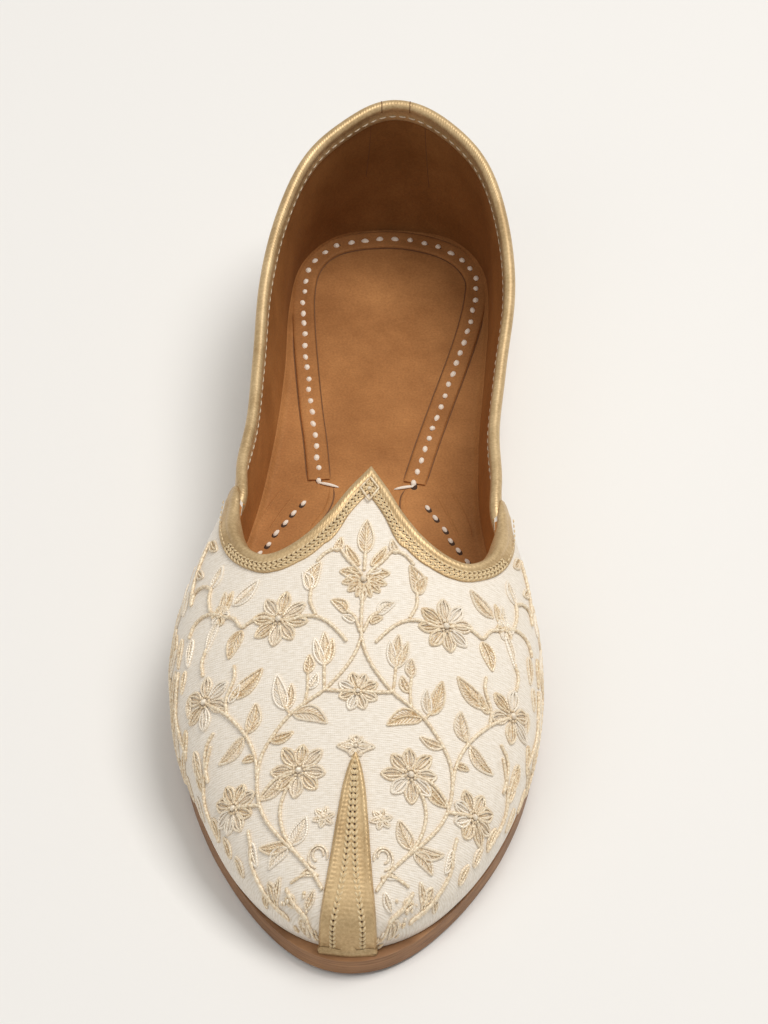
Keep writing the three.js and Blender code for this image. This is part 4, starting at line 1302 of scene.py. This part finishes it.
def addBloom(cords, satin, beads, across, along, radius, petals, turn, rng):
    centre = np.array([across, along])
    for k in range(petals):
        angle = turn + 2 * math.pi * k / petals + rng.uniform(-0.07, 0.07)
        reach = radius * rng.uniform(0.92, 1.08)
        axis = np.array([math.cos(angle), math.sin(angle)])
        side = np.array([-axis[1], axis[0]])
        wide = min(3.4, 2 * math.pi * radius / petals * 0.66)
        t = np.linspace(0, 1, 13)
        half = wide / 2 * np.sin(np.pi * t ** 1.25) ** 0.75
        rib = centre + axis * (radius * 0.16 + t * (reach - radius * 0.16))[:, None]
        outline = np.concatenate([rib + side * half[:, None], (rib - side * half[:, None])[::-1]])
        tone = rng.choice((0.1, 0.2, 0.35, 0.7))
        cords.append(flatTube(evenPath(outline[::2], 0.42), 0.34, min(1, tone * 0.7 + 0.1), 0.3, sides=5))
        narrow = side * half[:, None] * 0.42
        inner = np.concatenate([rib + narrow, (rib - narrow)[::-1]])
        cords.append(flatTube(evenPath(inner[2:-2:2], 0.45), 0.24, tone, 0.42, sides=5))
        for lane in (-0.62, 0.0, 0.62):
            low, high = rib[2] + side * half[5] * lane * 0.4, rib[-3] + side * half[8] * lane
            bar = satinBar(low, high, 0.5, 0.36, min(1, max(0, tone + rng.uniform(-0.15, 0.2))))
            if bar:
                satin.append(bar)
    for k in range(9):
        angle = 2 * math.pi * k / 9
        ring = radius * 0.2
        addBead(beads, across + ring * math.cos(angle), along + ring * math.sin(angle), 0.42, 0.15, 0.6)
    addBead(beads, across, along, radius * 0.125, 0.5, 0.85)


embroidery = dict(
    vine=dict(radius=0.47, tone=0.2, lift=0.40, lobes=0.13),
    twig=dict(radius=0.4, tone=0.15, lift=0.34, lobes=0.15),
    sideStep=8.2, sideLeaves=11, soleBeads=16, clusterAt=(7.8, 37.6),
)


def mirrored(places, hand):
    return [(across * hand, along) for across, along in places]


def makeEmbroidery():
    rng = random.Random(11)
    cords, satin, outlines, beads = [], [], [], []
    for mirror in (1, -1):
        for vine in vines:
            cords.append(flatTube(evenPath(mirrored(vine, mirror), 0.28), sides=8, **embroidery["vine"]))
        for twig in twigs:
            cords.append(flatTube(evenPath(mirrored(twig, mirror), 0.3), sides=6, **embroidery["twig"]))
        for base, tip, width, bend in leaves:
            ends = mirrored([base, tip], mirror)
            tone = rng.choice((0.1, 0.2, 0.35, 0.75))
            addLeaf(outlines, satin, *ends, width, bend * mirror, rng, tone)
        for across, along, radius, petals, turn in blooms:
            facing = turn if mirror > 0 else math.pi - turn
            addBloom(outlines, satin, beads, across * mirror, along, radius, petals, facing, rng)
        for base, tip, width, bend in wings:
            ends = mirrored([base, tip], mirror)
            addLeaf(outlines, satin, *ends, width, bend * mirror, rng, 0.12)
        outlines.append(flatTube(evenPath(mirrored(motif, mirror), 0.4), 0.36, 0.35, 0.28, sides=5))
        cords.append(flatTube(evenPath(mirrored(sideVine, mirror), 0.4), sides=6, **embroidery["vine"]))
        sideSpots = evenPath(sideVine, embroidery["sideStep"])[:embroidery["sideLeaves"]]
        for step, spot in enumerate(sideSpots):  # leaves to both sides of the vine along the wall's foot
            out = 1 if step % 2 else -1
            for reach, rise, width in ((5.6 * out, 5.4, 3.2), (-3.4 * out, 6.6, 2.4)):
                ends = mirrored([tuple(spot), (spot[0] + reach, spot[1] + rise)], mirror)
                tone = rng.choice((0.15, 0.3, 0.6))
                addLeaf(outlines, satin, *ends, width, 0.5 * mirror * out, rng, tone)
        for base, tip in motifRays:
            ends = mirrored([base, tip], mirror)
            addLeaf(outlines, satin, *ends, 1.3, 0, rng, 0.5)
        for radius, start in ((2.6, 24.6), (1.5, 25.2)):  # scrolls beside the toe strip
            curl = [(mirror * (8.8 + radius * math.cos(t)), start + 2 + radius * math.sin(t) * 1.2)
                    for t in np.linspace(-1.4, 3.4, 8)]
            cords.append(flatTube(evenPath(curl, 0.35), 0.32, 0.35, 0.3, sides=6))
        base = (mirror * embroidery["clusterAt"][0], embroidery["clusterAt"][1])
        for k in range(6):  # the small cluster beside it
            angle = 2 * math.pi * k / 6 + 0.3
            tip = (base[0] + 3.2 * math.cos(angle), base[1] + 3.0 * math.sin(angle))
            addLeaf(outlines, satin, base, tip, 1.7, 0, rng, 0.5)
        addBead(beads, *base, 0.5, 0.4, 0.5)
        for k in range(embroidery["soleBeads"]):  # beads scattered by the sole
            across, along = mirror * rng.uniform(11.5, 20), rng.uniform(8.5, 18)
            addBead(beads, across, along, rng.uniform(0.35, 0.6), rng.random() * 0.6)
    for vine in midVines:
        cords.append(flatTube(evenPath(vine, 0.28), sides=8, **embroidery["vine"]))
    for base, tip, width, bend in midLeaves:
        addLeaf(outlines, satin, base, tip, width, bend, rng, 0.3)
    for bloom in midBlooms:
        addBloom(outlines, satin, beads, *bloom, rng)
    addBead(beads, -0.2, 106.4, 1.0, 0.4, 0.8)
    corners = np.array(peakDiamond)
    legs = np.linspace(0, 1, 9)[:-1, None]
    nextCorners = np.roll(corners, -1, axis=0)
    ring = np.concatenate([here + (there - here) * legs for here, there in zip(corners, nextCorners)])
    outlines.append(flatTube(ring, 0.3, 0.1, 1.05, sides=6))
    addBead(beads, 0, 134.8, 0.7, 0.2, 1.0)
    addBead(beads, 0, 57.6, 0.6, 0.4, 0.6)
    pieces = (("vine_cords", cords, cordMaterial), ("leaf_outlines", outlines, satinMaterial),
              ("satin_threads", satin, satinMaterial), ("embroidery_beads", beads, cordMaterial))
    for name, heap, material in pieces:
        obj = joinedMesh(name, heap)
        finishPiece(obj, material, "silk")
        print(name, len(obj.data.polygons), "faces")


makeEmbroidery()
print("embroidery ready")


view = dict(
    place=(0.0541, -0.9944, 1.1521), aim=(0.0047, 0.0105, 0.0195), lens=248.0,
    floor=(0.84, 0.828, 0.808, 1), air=0.425, lightColour=(1.0, 0.975, 0.94),
    lights=[("windowLight", (0.6, 0.35, 1.75), 0.9, 22.5), ("fillLight", (-0.7, -0.8, 1.5), 1.4, 5)],
)


def turnTowards(place, aim):
    return (Vector(aim) - Vector(place)).to_track_quat("-Z", "Y").to_euler()


def makeStudio():
    clearSelection()
    bpy.ops.mesh.primitive_plane_add(size=6, location=(0, 0, 0))
    floor = bpy.context.object
    floor.name = "studio_floor"
    material, shader = nodeSet("floorPaint")[::2]
    shader.inputs["Base Color"].default_value = view["floor"]
    shader.inputs["Roughness"].default_value = 0.9
    shader.inputs["Specular IOR Level"].default_value = 0.1
    floor.data.materials.append(material)
    world = bpy.data.worlds.new("studioAir")
    bpy.context.scene.world = world
    bpy.context.scene.view_settings.view_transform = "Standard"
    world.use_nodes = True
    world.node_tree.nodes["Background"].inputs[0].default_value = (1.0, 0.985, 0.96, 1)
    world.node_tree.nodes["Background"].inputs[1].default_value = view["air"]
    for name, place, size, power in view["lights"]:
        bpy.ops.object.light_add(type="AREA", location=place)
        light = bpy.context.object
        light.name = name
        light.data.shape = "SQUARE"
        light.data.size = size
        light.data.energy = power
        light.data.color = view["lightColour"]
        light.rotation_euler = turnTowards(place, (0, 0, 0))
    bpy.ops.object.camera_add(location=view["place"])
    camera = bpy.context.object
    camera.name = "studioCamera"
    camera.rotation_euler = turnTowards(view["place"], view["aim"])
    camera.data.lens = view["lens"]
    camera.data.sensor_width = 36
    camera.data.sensor_fit = "HORIZONTAL"
    bpy.context.scene.camera = camera


makeStudio()
clearSelection()
